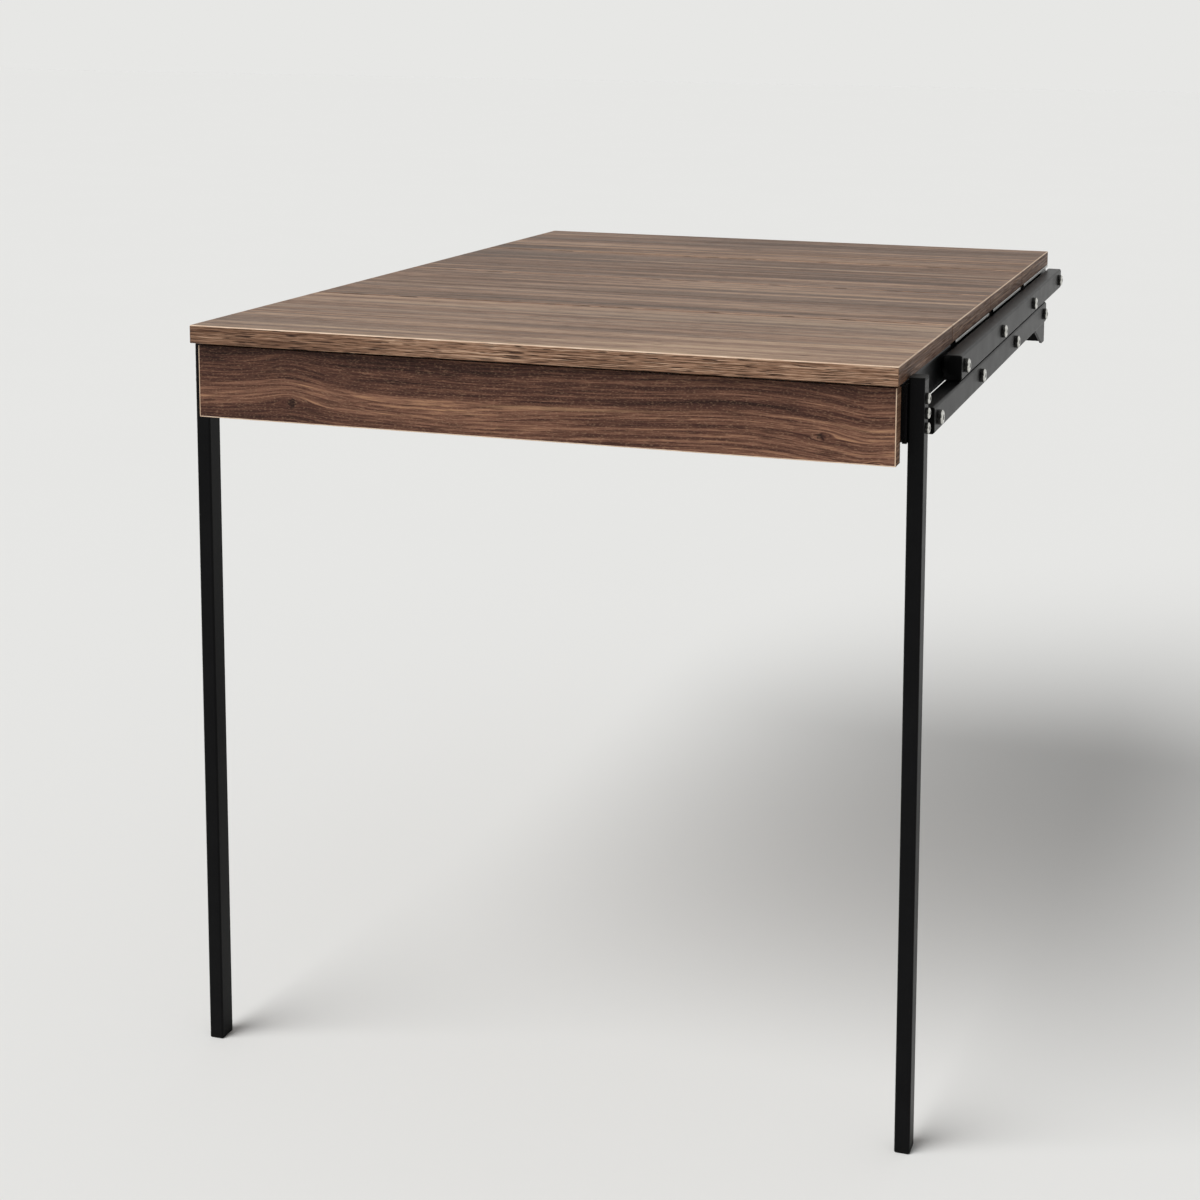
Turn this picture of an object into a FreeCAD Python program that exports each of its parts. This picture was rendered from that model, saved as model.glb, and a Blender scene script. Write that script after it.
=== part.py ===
import FreeCAD, Part
import os

import Sketcher

# Folding wall table, in millimetres.
#
# Four boards lie in a row. The rear one is fixed to the wall. The other three hang on carriers that are
# pinned to two pairs of tube arms, and each pair of arms with its wall bracket makes a parallelogram: the
# table folds up against the wall while its boards stay level.
#
# Row frame: origin on the wall, at the centre of the four wall holes. +X is to the right, -Y comes out from
# the wall, +Z is up. In the names, a reach is a distance out from the wall, a drop is a distance below the
# table's top surface, and a back is a distance forward from the rear edge of a leaf.

SIZES = {
    "TableHeight": 750,  # top surface above the floor
    "BoardWidth": 704,  # boards, left to right
    "BoardThick": 18,  # boards and apron
    "LeafDepth": 226.5,  # wall, inner and middle leaf, rear to front
    "FrontLeafDepth": 252,  # front leaf, rear to front
    "LeafGap": 1.5,  # between two leaves
    "WallGap": 2,  # between the wall leaf and the wall
    "EdgingThick": 1,  # edge band
    "EdgingBevel": 0.6,  # its outer edges
    "StripThick": 3,  # flat steel strip under each end of a leaf
    "StripWidth": 30,
    "StripFrontInset": 19,  # strip's front end behind the leaf's front edge
    "StripRearInset": 7,  # strip's rear end in front of the leaf's rear edge
    "PlateThick": 3,  # steel plate that hangs from the strip
    "PlateInset": 2.5,  # its outer face inside the leaf's end
    "PlateFrontInset": 7,  # its front edge behind the leaf's front edge
    "PlateRearInset": 7,  # its rear edge in front of the leaf's rear edge
    "PlateMargin": 15,  # plate left around a pivot
    "PlateBendBack": 37,  # its slanting edge starts this far behind the lower pivot
    "PlateBendRun": 28,  # and rises over this length on a carrier
    "PlateRound": 6,  # its lower corners
    "FlangeThick": 4,  # wall flange of a wall bracket
    "FlangeWidth": 32,
    "FlangeHeight": 100,
    "GussetToe": 20,  # foot of the wall bracket's gusset out from the wall
    "WallHole": 7,  # hole for a wall screw
    "WallHoleSpacing": 64,  # between the two holes of a flange
    "PivotReach": 33,  # upper wall pivot out from the wall
    "LegArmGap": 13,  # between a lower arm's front end and the leg
    "UpperPivotDrop": 34,  # upper pivots below the top surface
    "PivotSpread": 26,  # lower pivots below the upper ones
    "ArmWidth": 18,  # arm's rectangular tube, across
    "ArmHeight": 25,
    "ArmWall": 1.5,
    "ArmRound": 2.5,  # its outer corners
    "ArmSideGap": 1.5,  # between a leaf's end and the arm
    "ArmEndMargin": 20,  # arm beyond its first and last pivot, plugs and all
    "PlugCap": 2,  # cap of an arm's end plug
    "PlugInsert": 12,  # length of a plug's insert
    "PlugPlay": 0.2,  # between an insert and its tube
    "PivotBolt": 8,  # pivot bolt's shank
    "PivotHead": 14,  # its button head
    "PivotHeadHigh": 4.4,
    "PivotHeadTop": 8.4,  # its flat top, across
    "PivotSocket": 5,  # its hexagon socket, across flats
    "PivotNutFlats": 13,
    "PivotNutHigh": 8,
    "SocketDeep": 2.4,
    "BoltProud": 2,  # thread past a nut
    "SleeveOuter": 12,  # sleeve welded across an arm, which turns on a pivot bolt
    "BossOuter": 16,  # boss on a plate, which keeps the arm off it
    "RunningPlay": 0.08,  # radial play of a sleeve on its bolt
    "FitPlay": 0.05,  # radial play of parts that don't turn
    "FaceGap": 0.3,  # side play of faces that turn
    "LegWidth": 15,  # leg's rectangular tube, across
    "LegDepth": 20,
    "LegWall": 1.5,
    "LegRound": 2,  # its outer corners
    "LegInset": 34,  # its front face behind the front leaf's edge
    "LegTopDrop": 15,  # top of the leg's plug
    "LegCap": 3,  # cap of the leg's top plug
    "FootHigh": 6,  # foot's sole under the tube
    "LegBolt": 6,  # leg bolt's shank
    "LegHead": 10.5,  # its button head
    "LegHeadHigh": 3.3,
    "LegHeadTop": 6.6,  # its flat top, across
    "LegSocket": 4,  # its hexagon socket, across flats
    "LegNutFlats": 10,
    "LegNutHigh": 6,
    "LegBoltDrop": 35,  # first leg bolt
    "LegBoltPitch": 13.5,
    "PackingWidth": 26,  # packing plate behind a leg, front to rear
    "FrontPlateGap": 3,  # between the apron and the plates behind it
    "ApronInset": 9,  # apron's face behind the front leaf's edge
    "ApronHeight": 71,
    "ApronEndInset": 3.4,  # its ends inside the leaf's ends
    "CleatSide": 30,  # each side of the steel cleats between the front leaf and the apron
    "CleatThick": 2.5,
    "CleatLength": 40,
    "CleatRound": 4,  # its outer bend
    "CleatSpacing": 320,  # between the middles of the two cleats
}

LAYOUT = {
    "LeafPitch": "Sizes.LeafDepth + Sizes.LeafGap",
    "ArmSpan": "3 * LeafPitch",
    "StripDrop": "Sizes.BoardThick + Sizes.StripThick",
    "TopLevel": "StripDrop + Sizes.FlangeHeight / 2",
    "PlateOuter": "Sizes.BoardWidth / 2 - Sizes.PlateInset",
    "PlateInner": "PlateOuter - Sizes.PlateThick",
    "UpperBack": "Sizes.PivotReach - Sizes.WallGap",
    "LegBack": "Sizes.FrontLeafDepth - Sizes.LegInset - Sizes.LegDepth / 2",
    "LowerBack": "LegBack - Sizes.LegDepth / 2 - Sizes.LegArmGap - Sizes.ArmEndMargin",
    "LowerPivotDrop": "Sizes.UpperPivotDrop + Sizes.PivotSpread",
    "PlateDrop": "LowerPivotDrop + Sizes.PlateMargin",
    "ArmInner": "Sizes.BoardWidth / 2 + Sizes.ArmSideGap",
    "ArmMiddle": "ArmInner + Sizes.ArmWidth / 2",
    "TubeMargin": "Sizes.ArmEndMargin - Sizes.PlugCap",
    "PlateToArm": "ArmInner - PlateOuter",
    "LegMiddle": "ArmInner + Sizes.LegWidth / 2",
    "LegTubeDrop": "Sizes.LegTopDrop + Sizes.LegCap",
    "LegTubeLength": "Sizes.TableHeight - Sizes.FootHigh - LegTubeDrop",
    "FrontPlateInset": "Sizes.ApronInset + Sizes.BoardThick + Sizes.FrontPlateGap",
    "ApronBack": "Sizes.FrontLeafDepth - Sizes.ApronInset - Sizes.BoardThick",
    "ApronHalf": "Sizes.BoardWidth / 2 - Sizes.ApronEndInset",
    "ApronDrop": "StripDrop + Sizes.ApronHeight",
}

TINY = 0.001  # tells two places apart
LEG_BOLTS = 3
LEAVES = ("wall", "inner", "middle", "front")
SIDES = {"right": 1, "left": -1}

doc = FreeCAD.newDocument("FoldingWallTable")
nodes = []


def fill_sheet(name, cells):
    """Put named values, or formulas of named values, into a spreadsheet."""
    sheet = doc.addObject("Spreadsheet::Sheet", name)
    for row, (alias, value) in enumerate(cells.items(), start=1):
        sheet.set(f"A{row}", alias)
        sheet.setAlias(f"B{row}", alias)
        sheet.set(f"B{row}", str(value))
    doc.recompute()
    return sheet


sizes = fill_sheet("Sizes", SIZES)
layout = fill_sheet("Layout", {alias: "=" + formula for alias, formula in LAYOUT.items()})


def value(formula):
    """The number that a formula of the sheets gives now."""
    result = layout.evalExpression(str(formula))
    return float(getattr(result, "Value", result))


def keep(thing, label):
    """Name a finished sub-part, which is written to a file of that name."""
    thing.Label = label
    nodes.append(thing)
    return thing


def place(thing, x, y, z):
    """Bind an object's place to formulas."""
    for axis, formula in zip("xyz", (x, y, z)):
        thing.setExpression(f"Placement.Base.{axis}", str(formula))
    return thing


def place_on_leaf(thing, number):
    """Move an object from a leaf's own frame to where leaf number 0 to 3 is."""
    return place(thing, 0, f"-(Sizes.WallGap + {number} * Layout.LeafPitch)", "Layout.TopLevel")


def place_on_arm(thing, side, upper):
    """Move an object from an arm's own frame, at its wall pivot, to where the arm is."""
    back = "Layout.UpperBack" if upper else "Layout.LowerBack"
    drop = "Sizes.UpperPivotDrop" if upper else "Layout.LowerPivotDrop"
    reach = f"Sizes.WallGap + {back}"
    return place(thing, f"{side} * Layout.ArmMiddle", f"-({reach})", f"Layout.TopLevel - {drop}")


def new_body(name):
    return doc.addObject("PartDesign::Body", name)


def origin_part(body, role):
    return next(part for part in body.Origin.OriginFeatures if part.Role == role)


def new_sketch(body, plane, offset=0):
    """A sketch on one of the body's own origin planes, moved along the plane's normal."""
    sketch = body.newObject("Sketcher::SketchObject", f"{body.Name}_sketch")
    sketch.AttachmentSupport = (origin_part(body, plane), [""])
    sketch.MapMode = "FlatFace"
    sketch.setExpression("AttachmentOffset.Base.z", str(offset))
    return sketch


def bind(sketch, kind, formula, *places):
    """Add a dimension to a sketch and bind it to a formula."""
    number = sketch.addConstraint(Sketcher.Constraint(kind, *places, value(formula)))
    sketch.setExpression(f"Constraints[{number}]", str(formula))


def outline(sketch, corners):
    """A closed outline of straight lines; each corner is a pair of formulas."""
    points = [FreeCAD.Vector(value(x), value(y), 0) for x, y in corners]
    lines = []
    for start, end in zip(points, points[1:] + points[:1]):
        lines.append(sketch.addGeometry(Part.LineSegment(start, end), False))
    for line, following in zip(lines, lines[1:] + lines[:1]):
        sketch.addConstraint(Sketcher.Constraint("Coincident", line, 2, following, 1))
    for line, (x, y) in zip(lines, corners):
        bind(sketch, "DistanceX", x, -1, 1, line, 1)
        bind(sketch, "DistanceY", y, -1, 1, line, 1)


def rectangle(sketch, left, right, low, high):
    outline(sketch, ((left, low), (right, low), (right, high), (left, high)))


def centred_rectangle(sketch, width, height):
    rectangle(sketch, f"-({width}) / 2", f"({width}) / 2", f"-({height}) / 2", f"({height}) / 2")


def circle(sketch, x, y, diameter):
    centre = FreeCAD.Vector(value(x), value(y), 0)
    ring = sketch.addGeometry(Part.Circle(centre, FreeCAD.Vector(0, 0, 1), value(diameter) / 2), False)
    bind(sketch, "DistanceX", x, -1, 1, ring, 3)
    bind(sketch, "DistanceY", y, -1, 1, ring, 3)
    bind(sketch, "Diameter", diameter, ring)


def hexagon(sketch, flats):
    """A hexagon round the sketch's origin, by its size across flats."""
    half = f"({flats}) / 2"
    short = f"{half} * tan(30 deg)"
    tip = f"{half} / cos(30 deg)"
    outline(
        sketch,
        (
            (tip, 0),
            (short, half),
            (f"-{short}", half),
            (f"-{tip}", 0),
            (f"-{short}", f"-{half}"),
            (short, f"-{half}"),
        ),
    )


def pad(body, sketch, length, reverse=False, both=False):
    feature = body.newObject("PartDesign::Pad", f"{body.Name}_pad")
    feature.Profile = sketch
    feature.setExpression("Length", str(length))
    feature.Reversed = reverse
    if both:
        feature.SideType = "Symmetric"
    body.Tip = feature
    doc.recompute()
    return feature


def pocket(body, sketch, depth=None, reverse=False):
    """Cut a sketch out of a body: to a depth, or with none through all of it both ways."""
    before = body.Shape.Volume
    feature = body.newObject("PartDesign::Pocket", f"{body.Name}_pocket")
    feature.Profile = sketch
    if depth is None:
        feature.SideType = "Two sides"
        feature.Type = "ThroughAll"
        feature.Type2 = "ThroughAll"
    else:
        feature.setExpression("Length", str(depth))
        feature.Reversed = reverse
    body.Tip = feature
    doc.recompute()
    if not body.Shape.Volume < before:
        raise RuntimeError(f"{feature.Name} cuts nothing")
    return feature


def revolve(body, sketch, axis):
    feature = body.newObject("PartDesign::Revolution", f"{body.Name}_turned")
    feature.Profile = sketch
    feature.ReferenceAxis = (origin_part(body, axis), [""])
    body.Tip = feature
    doc.recompute()
    return feature


def pattern_along_arm(body, *features):
    """Repeat features at the four pivots of an arm."""
    row = body.newObject("PartDesign::LinearPattern", f"{body.Name}_row")
    row.Originals = list(features)
    row.Direction = (origin_part(body, "Y_Axis"), [""])
    row.Reversed = True
    row.setExpression("Length", "Layout.ArmSpan")
    row.Occurrences = len(LEAVES)
    body.Tip = row
    doc.recompute()
    return row


def dress_edges(body, kind, dimension, size, wanted):
    """Fillet or chamfer the edges of the body's tip for which wanted(edge) is true."""
    base = body.Tip
    names = [f"Edge{number}" for number, edge in enumerate(base.Shape.Edges, 1) if wanted(edge)]
    feature = body.newObject(f"PartDesign::{kind}", f"{body.Name}_{kind.lower()}")
    feature.Base = (base, names)
    feature.setExpression(dimension, str(size))
    body.Tip = feature
    doc.recompute()
    return feature


def round_edges(body, radius, wanted):
    return dress_edges(body, "Fillet", "Radius", radius, wanted)


def bevel_edges(body, size, wanted):
    return dress_edges(body, "Chamfer", "Size", size, wanted)


def runs_along(edge, axis):
    """True for a straight edge parallel to the axis 'x', 'y' or 'z'."""
    if edge.Curve.TypeId != "Part::GeomLine":
        return False
    direction = edge.Vertexes[1].Point - edge.Vertexes[0].Point
    return abs(abs(getattr(direction, axis)) - edge.Length) < TINY


def copies(label, master, places):
    """One group of separate solids: copies of a master body, each at (x, y, z) and turned by a rotation."""
    links = []
    for x, y, z, turn in places:
        link = doc.addObject("App::Link", f"{label}_copy")
        link.LinkedObject = master
        link.Placement = FreeCAD.Placement(FreeCAD.Vector(), turn)
        links.append(place(link, x, y, z))
    group = doc.addObject("Part::Compound", label)
    group.Links = links
    return keep(group, label)


def turn(axis, degrees):
    return FreeCAD.Rotation(FreeCAD.Vector(*axis), degrees)


AS_MADE = turn((0, 0, 1), 0)
FACING_LEFT = turn((0, 0, 1), 180)
POINTING_FRONT = turn((1, 0, 0), 90)
POINTING_REAR = turn((1, 0, 0), -90)
UPSIDE_DOWN = turn((1, 0, 0), 180)
FACING = {"right": AS_MADE, "left": FACING_LEFT}


# Masters: small parts that are modelled once and copied


def button_bolt(name, shank, length, head, head_high, head_top, socket):
    """Button head bolt on the X axis, the underside of its head at x = 0 and its head towards +X."""
    body = new_body(name)
    profile = new_sketch(body, "XY_Plane")
    outline(
        profile,
        (
            (f"-({length})", 0),
            (head_high, 0),
            (head_high, f"{head_top} / 2"),
            (0, f"{head} / 2"),
            (0, f"{shank} / 2"),
            (f"-({length})", f"{shank} / 2"),
        ),
    )
    revolve(body, profile, "X_Axis")
    recess = new_sketch(body, "YZ_Plane", head_high)
    hexagon(recess, socket)
    pocket(body, recess, "Sizes.SocketDeep")
    return body


def hexagon_nut(name, flats, height, bore):
    """Nut on the X axis, its seat at x = 0 and its height towards -X."""
    body = new_body(name)
    face = new_sketch(body, "YZ_Plane")
    hexagon(face, flats)
    circle(face, 0, 0, f"{bore} + 2 * Sizes.FitPlay")
    pad(body, face, height, reverse=True)
    return body


def tube_plug(name, width, depth, wall, corner, cap):
    """Plug of an upright tube: its cap stands from z = 0 up, and its insert goes down into the tube."""
    body = new_body(name)
    face = new_sketch(body, "XY_Plane")
    centred_rectangle(face, width, depth)
    pad(body, face, cap)
    round_edges(body, corner, lambda edge: runs_along(edge, "z"))
    inside = new_sketch(body, "XY_Plane")
    less = f"2 * ({wall} + Sizes.PlugPlay)"
    centred_rectangle(inside, f"{width} - {less}", f"{depth} - {less}")
    pad(body, inside, "Sizes.PlugInsert", reverse=True)
    return body


def leg_end(name, cap):
    """Plug for one end of a leg."""
    return tube_plug(name, "Sizes.LegWidth", "Sizes.LegDepth", "Sizes.LegWall", "Sizes.LegRound", cap)


PIVOT_GRIP = "Sizes.FaceGap + Sizes.ArmWidth + Layout.PlateToArm + Sizes.PlateThick"
LEG_GRIP = "Sizes.LegWidth + Layout.PlateToArm + Sizes.PlateThick"
PIVOT_HOLE = "Sizes.PivotBolt + 2 * Sizes.FitPlay"
LEG_HOLE = "Sizes.LegBolt + 2 * Sizes.FitPlay"

pivot_bolt = button_bolt(
    "PivotBolt",
    "Sizes.PivotBolt",
    f"{PIVOT_GRIP} + Sizes.PivotNutHigh + Sizes.BoltProud",
    "Sizes.PivotHead",
    "Sizes.PivotHeadHigh",
    "Sizes.PivotHeadTop",
    "Sizes.PivotSocket",
)
leg_bolt = button_bolt(
    "LegBolt",
    "Sizes.LegBolt",
    f"{LEG_GRIP} + Sizes.LegNutHigh + Sizes.BoltProud",
    "Sizes.LegHead",
    "Sizes.LegHeadHigh",
    "Sizes.LegHeadTop",
    "Sizes.LegSocket",
)
pivot_nut = hexagon_nut("PivotNut", "Sizes.PivotNutFlats", "Sizes.PivotNutHigh", "Sizes.PivotBolt")
leg_nut = hexagon_nut("LegNut", "Sizes.LegNutFlats", "Sizes.LegNutHigh", "Sizes.LegBolt")
arm_plug = tube_plug(
    "ArmPlug",
    "Sizes.ArmWidth",
    "Sizes.ArmHeight",
    "Sizes.ArmWall",
    "Sizes.ArmRound",
    "Sizes.PlugCap",
)
leg_plug = leg_end("LegPlug", "Sizes.LegCap")
leg_foot = leg_end("LegFoot", "Sizes.FootHigh")


# Leaves


def leaf_depth(number):
    return "Sizes.FrontLeafDepth" if LEAVES[number] == "front" else "Sizes.LeafDepth"


def pivots():
    """Back and drop of a leaf's upper and lower pivot."""
    return ("Layout.UpperBack", "Sizes.UpperPivotDrop"), ("Layout.LowerBack", "Layout.LowerPivotDrop")


def leg_bolt_drops():
    return [f"Sizes.LegBoltDrop + {row} * Sizes.LegBoltPitch" for row in range(LEG_BOLTS)]


def build_board(number):
    """Leaf board, its top at z = 0."""
    body = new_body(f"{LEAVES[number]}_leaf_board")
    face = new_sketch(body, "XY_Plane")
    half = "Sizes.BoardWidth / 2 - Sizes.EdgingThick"
    front = f"{leaf_depth(number)} - Sizes.EdgingThick"
    rectangle(face, f"-({half})", half, f"-({front})", "-Sizes.EdgingThick")
    pad(body, face, "Sizes.BoardThick", reverse=True)
    keep(place_on_leaf(body, number), body.Name)


def build_edging(number):
    """Edge band round a leaf board."""
    body = new_body(f"{LEAVES[number]}_leaf_edging")
    depth = leaf_depth(number)
    face = new_sketch(body, "XY_Plane")
    half = "Sizes.BoardWidth / 2"
    rectangle(face, f"-{half}", half, f"-{depth}", 0)
    inner = f"{half} - Sizes.EdgingThick"
    rectangle(face, f"-({inner})", inner, f"-({depth} - Sizes.EdgingThick)", "-Sizes.EdgingThick")
    pad(body, face, "Sizes.BoardThick", reverse=True)
    end = value(half) - TINY
    front = TINY - value(depth)

    def is_outer_rim(edge):
        middle = edge.CenterOfMass
        outside = abs(middle.x) > end or middle.y > -TINY or middle.y < front
        return outside and not runs_along(edge, "z")

    bevel_edges(body, "Sizes.EdgingBevel", is_outer_rim)
    keep(place_on_leaf(body, number), body.Name)


def add_strip(body, number, rear_inset):
    """Steel strip under the right end of a leaf."""
    face = new_sketch(body, "XY_Plane", "-Sizes.BoardThick")
    rectangle(
        face,
        "Sizes.BoardWidth / 2 - Sizes.StripWidth",
        "Sizes.BoardWidth / 2",
        f"-({leaf_depth(number)} - Sizes.StripFrontInset)",
        f"-({rear_inset})",
    )
    pad(body, face, "Sizes.StripThick", reverse=True)


def nose(number, front):
    """Upper front corners of a plate that runs on past the strip, where it rises to the board."""
    strip_front = f"{leaf_depth(number)} - Sizes.StripFrontInset"
    return (
        (front, "Sizes.BoardThick"),
        (strip_front, "Sizes.BoardThick"),
        (strip_front, "Layout.StripDrop"),
    )


def add_plate(body, corners):
    """Plate that hangs from the strip, its lower corners rounded; corners are pairs of back and drop."""
    face = new_sketch(body, "YZ_Plane", "Layout.PlateInner")
    outline(face, [(f"-({back})", f"-({drop})") for back, drop in corners])
    pad(body, face, "Sizes.PlateThick")
    strip_drop = value("Layout.StripDrop")

    def is_lower_corner(edge):
        middle = edge.CenterOfMass
        return runs_along(edge, "x") and middle.z < -strip_drop - TINY and middle.y < -TINY

    round_edges(body, "Sizes.PlateRound", is_lower_corner)


def add_pivots(body, number):
    """Bosses on the plate, with the pivot holes through them, and the front leaf's leg bolt holes."""
    bosses = new_sketch(body, "YZ_Plane", "Layout.PlateOuter")
    for back, drop in pivots():
        circle(bosses, f"-{back}", f"-{drop}", "Sizes.BossOuter")
    pad(body, bosses, "Layout.PlateToArm - Sizes.FaceGap")
    holes = new_sketch(body, "YZ_Plane", "Layout.PlateInner")
    for back, drop in pivots():
        circle(holes, f"-{back}", f"-{drop}", PIVOT_HOLE)
    if LEAVES[number] == "front":
        for drop in leg_bolt_drops():
            circle(holes, "-Layout.LegBack", f"-({drop})", LEG_HOLE)
    pocket(body, holes)


def mirror_left(body, label):
    """The left hand twin of a right hand body that is already in its place."""
    twin = doc.addObject("Part::Mirroring", label)
    twin.Source = body
    twin.Base = FreeCAD.Vector()
    twin.Normal = FreeCAD.Vector(1, 0, 0)
    return keep(twin, label)


def build_carriers(number):
    """Right and left carrier of a moving leaf."""
    name = LEAVES[number]
    body = new_body(f"{name}_carrier_right")
    if name == "front":
        front = f"{leaf_depth(number)} - Layout.FrontPlateInset"
        top_corners = ((front, "Layout.StripDrop"),)
    else:
        front = f"{leaf_depth(number)} - Sizes.PlateFrontInset"
        top_corners = nose(number, front)
    bend = "Layout.LowerBack - Sizes.PlateBendBack"
    add_strip(body, number, "Sizes.StripRearInset")
    add_plate(
        body,
        (
            ("Sizes.PlateRearInset", "Layout.StripDrop"),
            ("Sizes.PlateRearInset", "Sizes.UpperPivotDrop + Sizes.PlateMargin"),
            (f"{bend} - Sizes.PlateBendRun", "Sizes.UpperPivotDrop + Sizes.PlateMargin"),
            (bend, "Layout.PlateDrop"),
            (front, "Layout.PlateDrop"),
            *top_corners,
        ),
    )
    add_pivots(body, number)
    keep(place_on_leaf(body, number), body.Name)
    mirror_left(body, f"{name}_carrier_left")


def build_wall_brackets():
    """Right and left wall bracket: strip, gusset and wall flange."""
    body = new_body("wall_bracket_right")
    front = "Sizes.LeafDepth - Sizes.PlateFrontInset"
    toe_drop = "Layout.StripDrop + Sizes.FlangeHeight"
    add_strip(body, 0, "-Sizes.WallGap")
    add_plate(
        body,
        (
            ("-Sizes.WallGap", "Layout.StripDrop"),
            ("-Sizes.WallGap", toe_drop),
            ("Sizes.GussetToe - Sizes.WallGap", toe_drop),
            ("Layout.LowerBack - Sizes.PlateBendBack", "Layout.PlateDrop"),
            (front, "Layout.PlateDrop"),
            *nose(0, front),
        ),
    )
    flange = new_sketch(body, "XY_Plane", "-Layout.StripDrop")
    rectangle(
        flange,
        "Layout.PlateOuter - Sizes.FlangeWidth",
        "Layout.PlateOuter",
        "Sizes.WallGap - Sizes.FlangeThick",
        "Sizes.WallGap",
    )
    pad(body, flange, "Sizes.FlangeHeight", reverse=True)
    add_pivots(body, 0)
    holes = new_sketch(body, "XZ_Plane")
    for end in (1, -1):
        circle(
            holes,
            "Layout.PlateOuter - Sizes.FlangeWidth / 2",
            f"-Layout.TopLevel + {end} * Sizes.WallHoleSpacing / 2",
            "Sizes.WallHole",
        )
    pocket(body, holes)
    keep(place_on_leaf(body, 0), body.Name)
    mirror_left(body, "wall_bracket_left")


def build_pivot_fasteners(number):
    """Pivot bolts and nuts of one leaf, both sides."""
    seats = {
        "bolts": (pivot_bolt, "Layout.ArmInner + Sizes.ArmWidth + Sizes.FaceGap"),
        "nuts": (pivot_nut, "Layout.PlateInner"),
    }
    for kind, (master, across) in seats.items():
        spots = []
        for side_name, side in SIDES.items():
            for back, drop in pivots():
                spots.append((f"{side} * ({across})", f"-{back}", f"-{drop}", FACING[side_name]))
        place_on_leaf(copies(f"{LEAVES[number]}_pivot_{kind}", master, spots), number)


# Arms


def build_arm(label, side, upper):
    """Rectangular tube that reaches past its first and last pivot, with a sleeve across it at each."""
    body = new_body(label)
    end = new_sketch(body, "XZ_Plane", "-Layout.TubeMargin")
    centred_rectangle(end, "Sizes.ArmWidth", "Sizes.ArmHeight")
    pad(body, end, "Layout.ArmSpan + 2 * Layout.TubeMargin")
    round_edges(body, "Sizes.ArmRound", lambda edge: runs_along(edge, "y"))
    inside = new_sketch(body, "XZ_Plane")
    centred_rectangle(inside, "Sizes.ArmWidth - 2 * Sizes.ArmWall", "Sizes.ArmHeight - 2 * Sizes.ArmWall")
    pocket(body, inside)
    across = new_sketch(body, "YZ_Plane")
    circle(across, 0, 0, "Sizes.SleeveOuter")
    sleeve = pad(body, across, "Sizes.ArmWidth - Sizes.ArmWall", both=True)
    bore = new_sketch(body, "YZ_Plane")
    circle(bore, 0, 0, "Sizes.PivotBolt + 2 * Sizes.RunningPlay")
    pattern_along_arm(body, sleeve, pocket(body, bore))
    keep(place_on_arm(body, side, upper), label)


def build_arm_plugs(label, side, upper):
    front = "-(Layout.ArmSpan + Layout.TubeMargin)"
    ends = ((0, "Layout.TubeMargin", 0, POINTING_REAR), (0, front, 0, POINTING_FRONT))
    place_on_arm(copies(label, arm_plug, ends), side, upper)


# Legs


def build_leg(side_name):
    """Rectangular tube, its axis on the body's Z axis and its upper end at z = 0."""
    body = new_body(f"leg_{side_name}")
    top = new_sketch(body, "XY_Plane")
    centred_rectangle(top, "Sizes.LegWidth", "Sizes.LegDepth")
    pad(body, top, "Layout.LegTubeLength", reverse=True)
    round_edges(body, "Sizes.LegRound", lambda edge: runs_along(edge, "z"))
    bore = new_sketch(body, "XY_Plane")
    centred_rectangle(bore, "Sizes.LegWidth - 2 * Sizes.LegWall", "Sizes.LegDepth - 2 * Sizes.LegWall")
    pocket(body, bore)
    holes = new_sketch(body, "YZ_Plane")
    for drop in leg_bolt_drops():
        circle(holes, 0, f"Layout.LegTubeDrop - ({drop})", LEG_HOLE)
    pocket(body, holes)
    place(
        body,
        f"{SIDES[side_name]} * Layout.LegMiddle",
        "-(Sizes.WallGap + Layout.ArmSpan + Layout.LegBack)",
        "Layout.TopLevel - Layout.LegTubeDrop",
    )
    keep(body, body.Name)


def build_packing_plates():
    """Plates that pack the legs out from the front carriers."""
    body = new_body("PackingPlate")
    face = new_sketch(body, "YZ_Plane")
    front = "Sizes.FrontLeafDepth - Layout.FrontPlateInset"
    rear = f"{front} - Sizes.PackingWidth"
    rectangle(face, f"-({front})", f"-({rear})", "-Layout.PlateDrop", "-Layout.StripDrop")
    for drop in leg_bolt_drops():
        circle(face, "-Layout.LegBack", f"-({drop})", LEG_HOLE)
    pad(body, face, "Layout.PlateToArm")
    spots = (("Layout.PlateOuter", 0, 0, AS_MADE), ("-Layout.ArmInner", 0, 0, AS_MADE))
    place_on_leaf(copies("leg_packing_plates", body, spots), 3)


def build_leg_fasteners():
    across = "Layout.ArmInner + Sizes.LegWidth"
    seats = {"leg_bolts": (leg_bolt, across), "leg_nuts": (leg_nut, "Layout.PlateInner")}
    for label, (master, out) in seats.items():
        spots = []
        for side_name, side in SIDES.items():
            for drop in leg_bolt_drops():
                spots.append((f"{side} * ({out})", "-Layout.LegBack", f"-({drop})", FACING[side_name]))
        place_on_leaf(copies(label, master, spots), 3)


def build_leg_ends():
    """Top plugs and feet, both legs."""
    low = "-(Layout.LegTubeDrop + Layout.LegTubeLength)"
    tops = []
    feet = []
    for side in SIDES.values():
        tops.append((f"{side} * Layout.LegMiddle", "-Layout.LegBack", "-Layout.LegTubeDrop", AS_MADE))
        feet.append((f"{side} * Layout.LegMiddle", "-Layout.LegBack", low, UPSIDE_DOWN))
    place_on_leaf(copies("leg_top_plugs", leg_plug, tops), 3)
    place_on_leaf(copies("leg_feet", leg_foot, feet), 3)


# Apron


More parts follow.
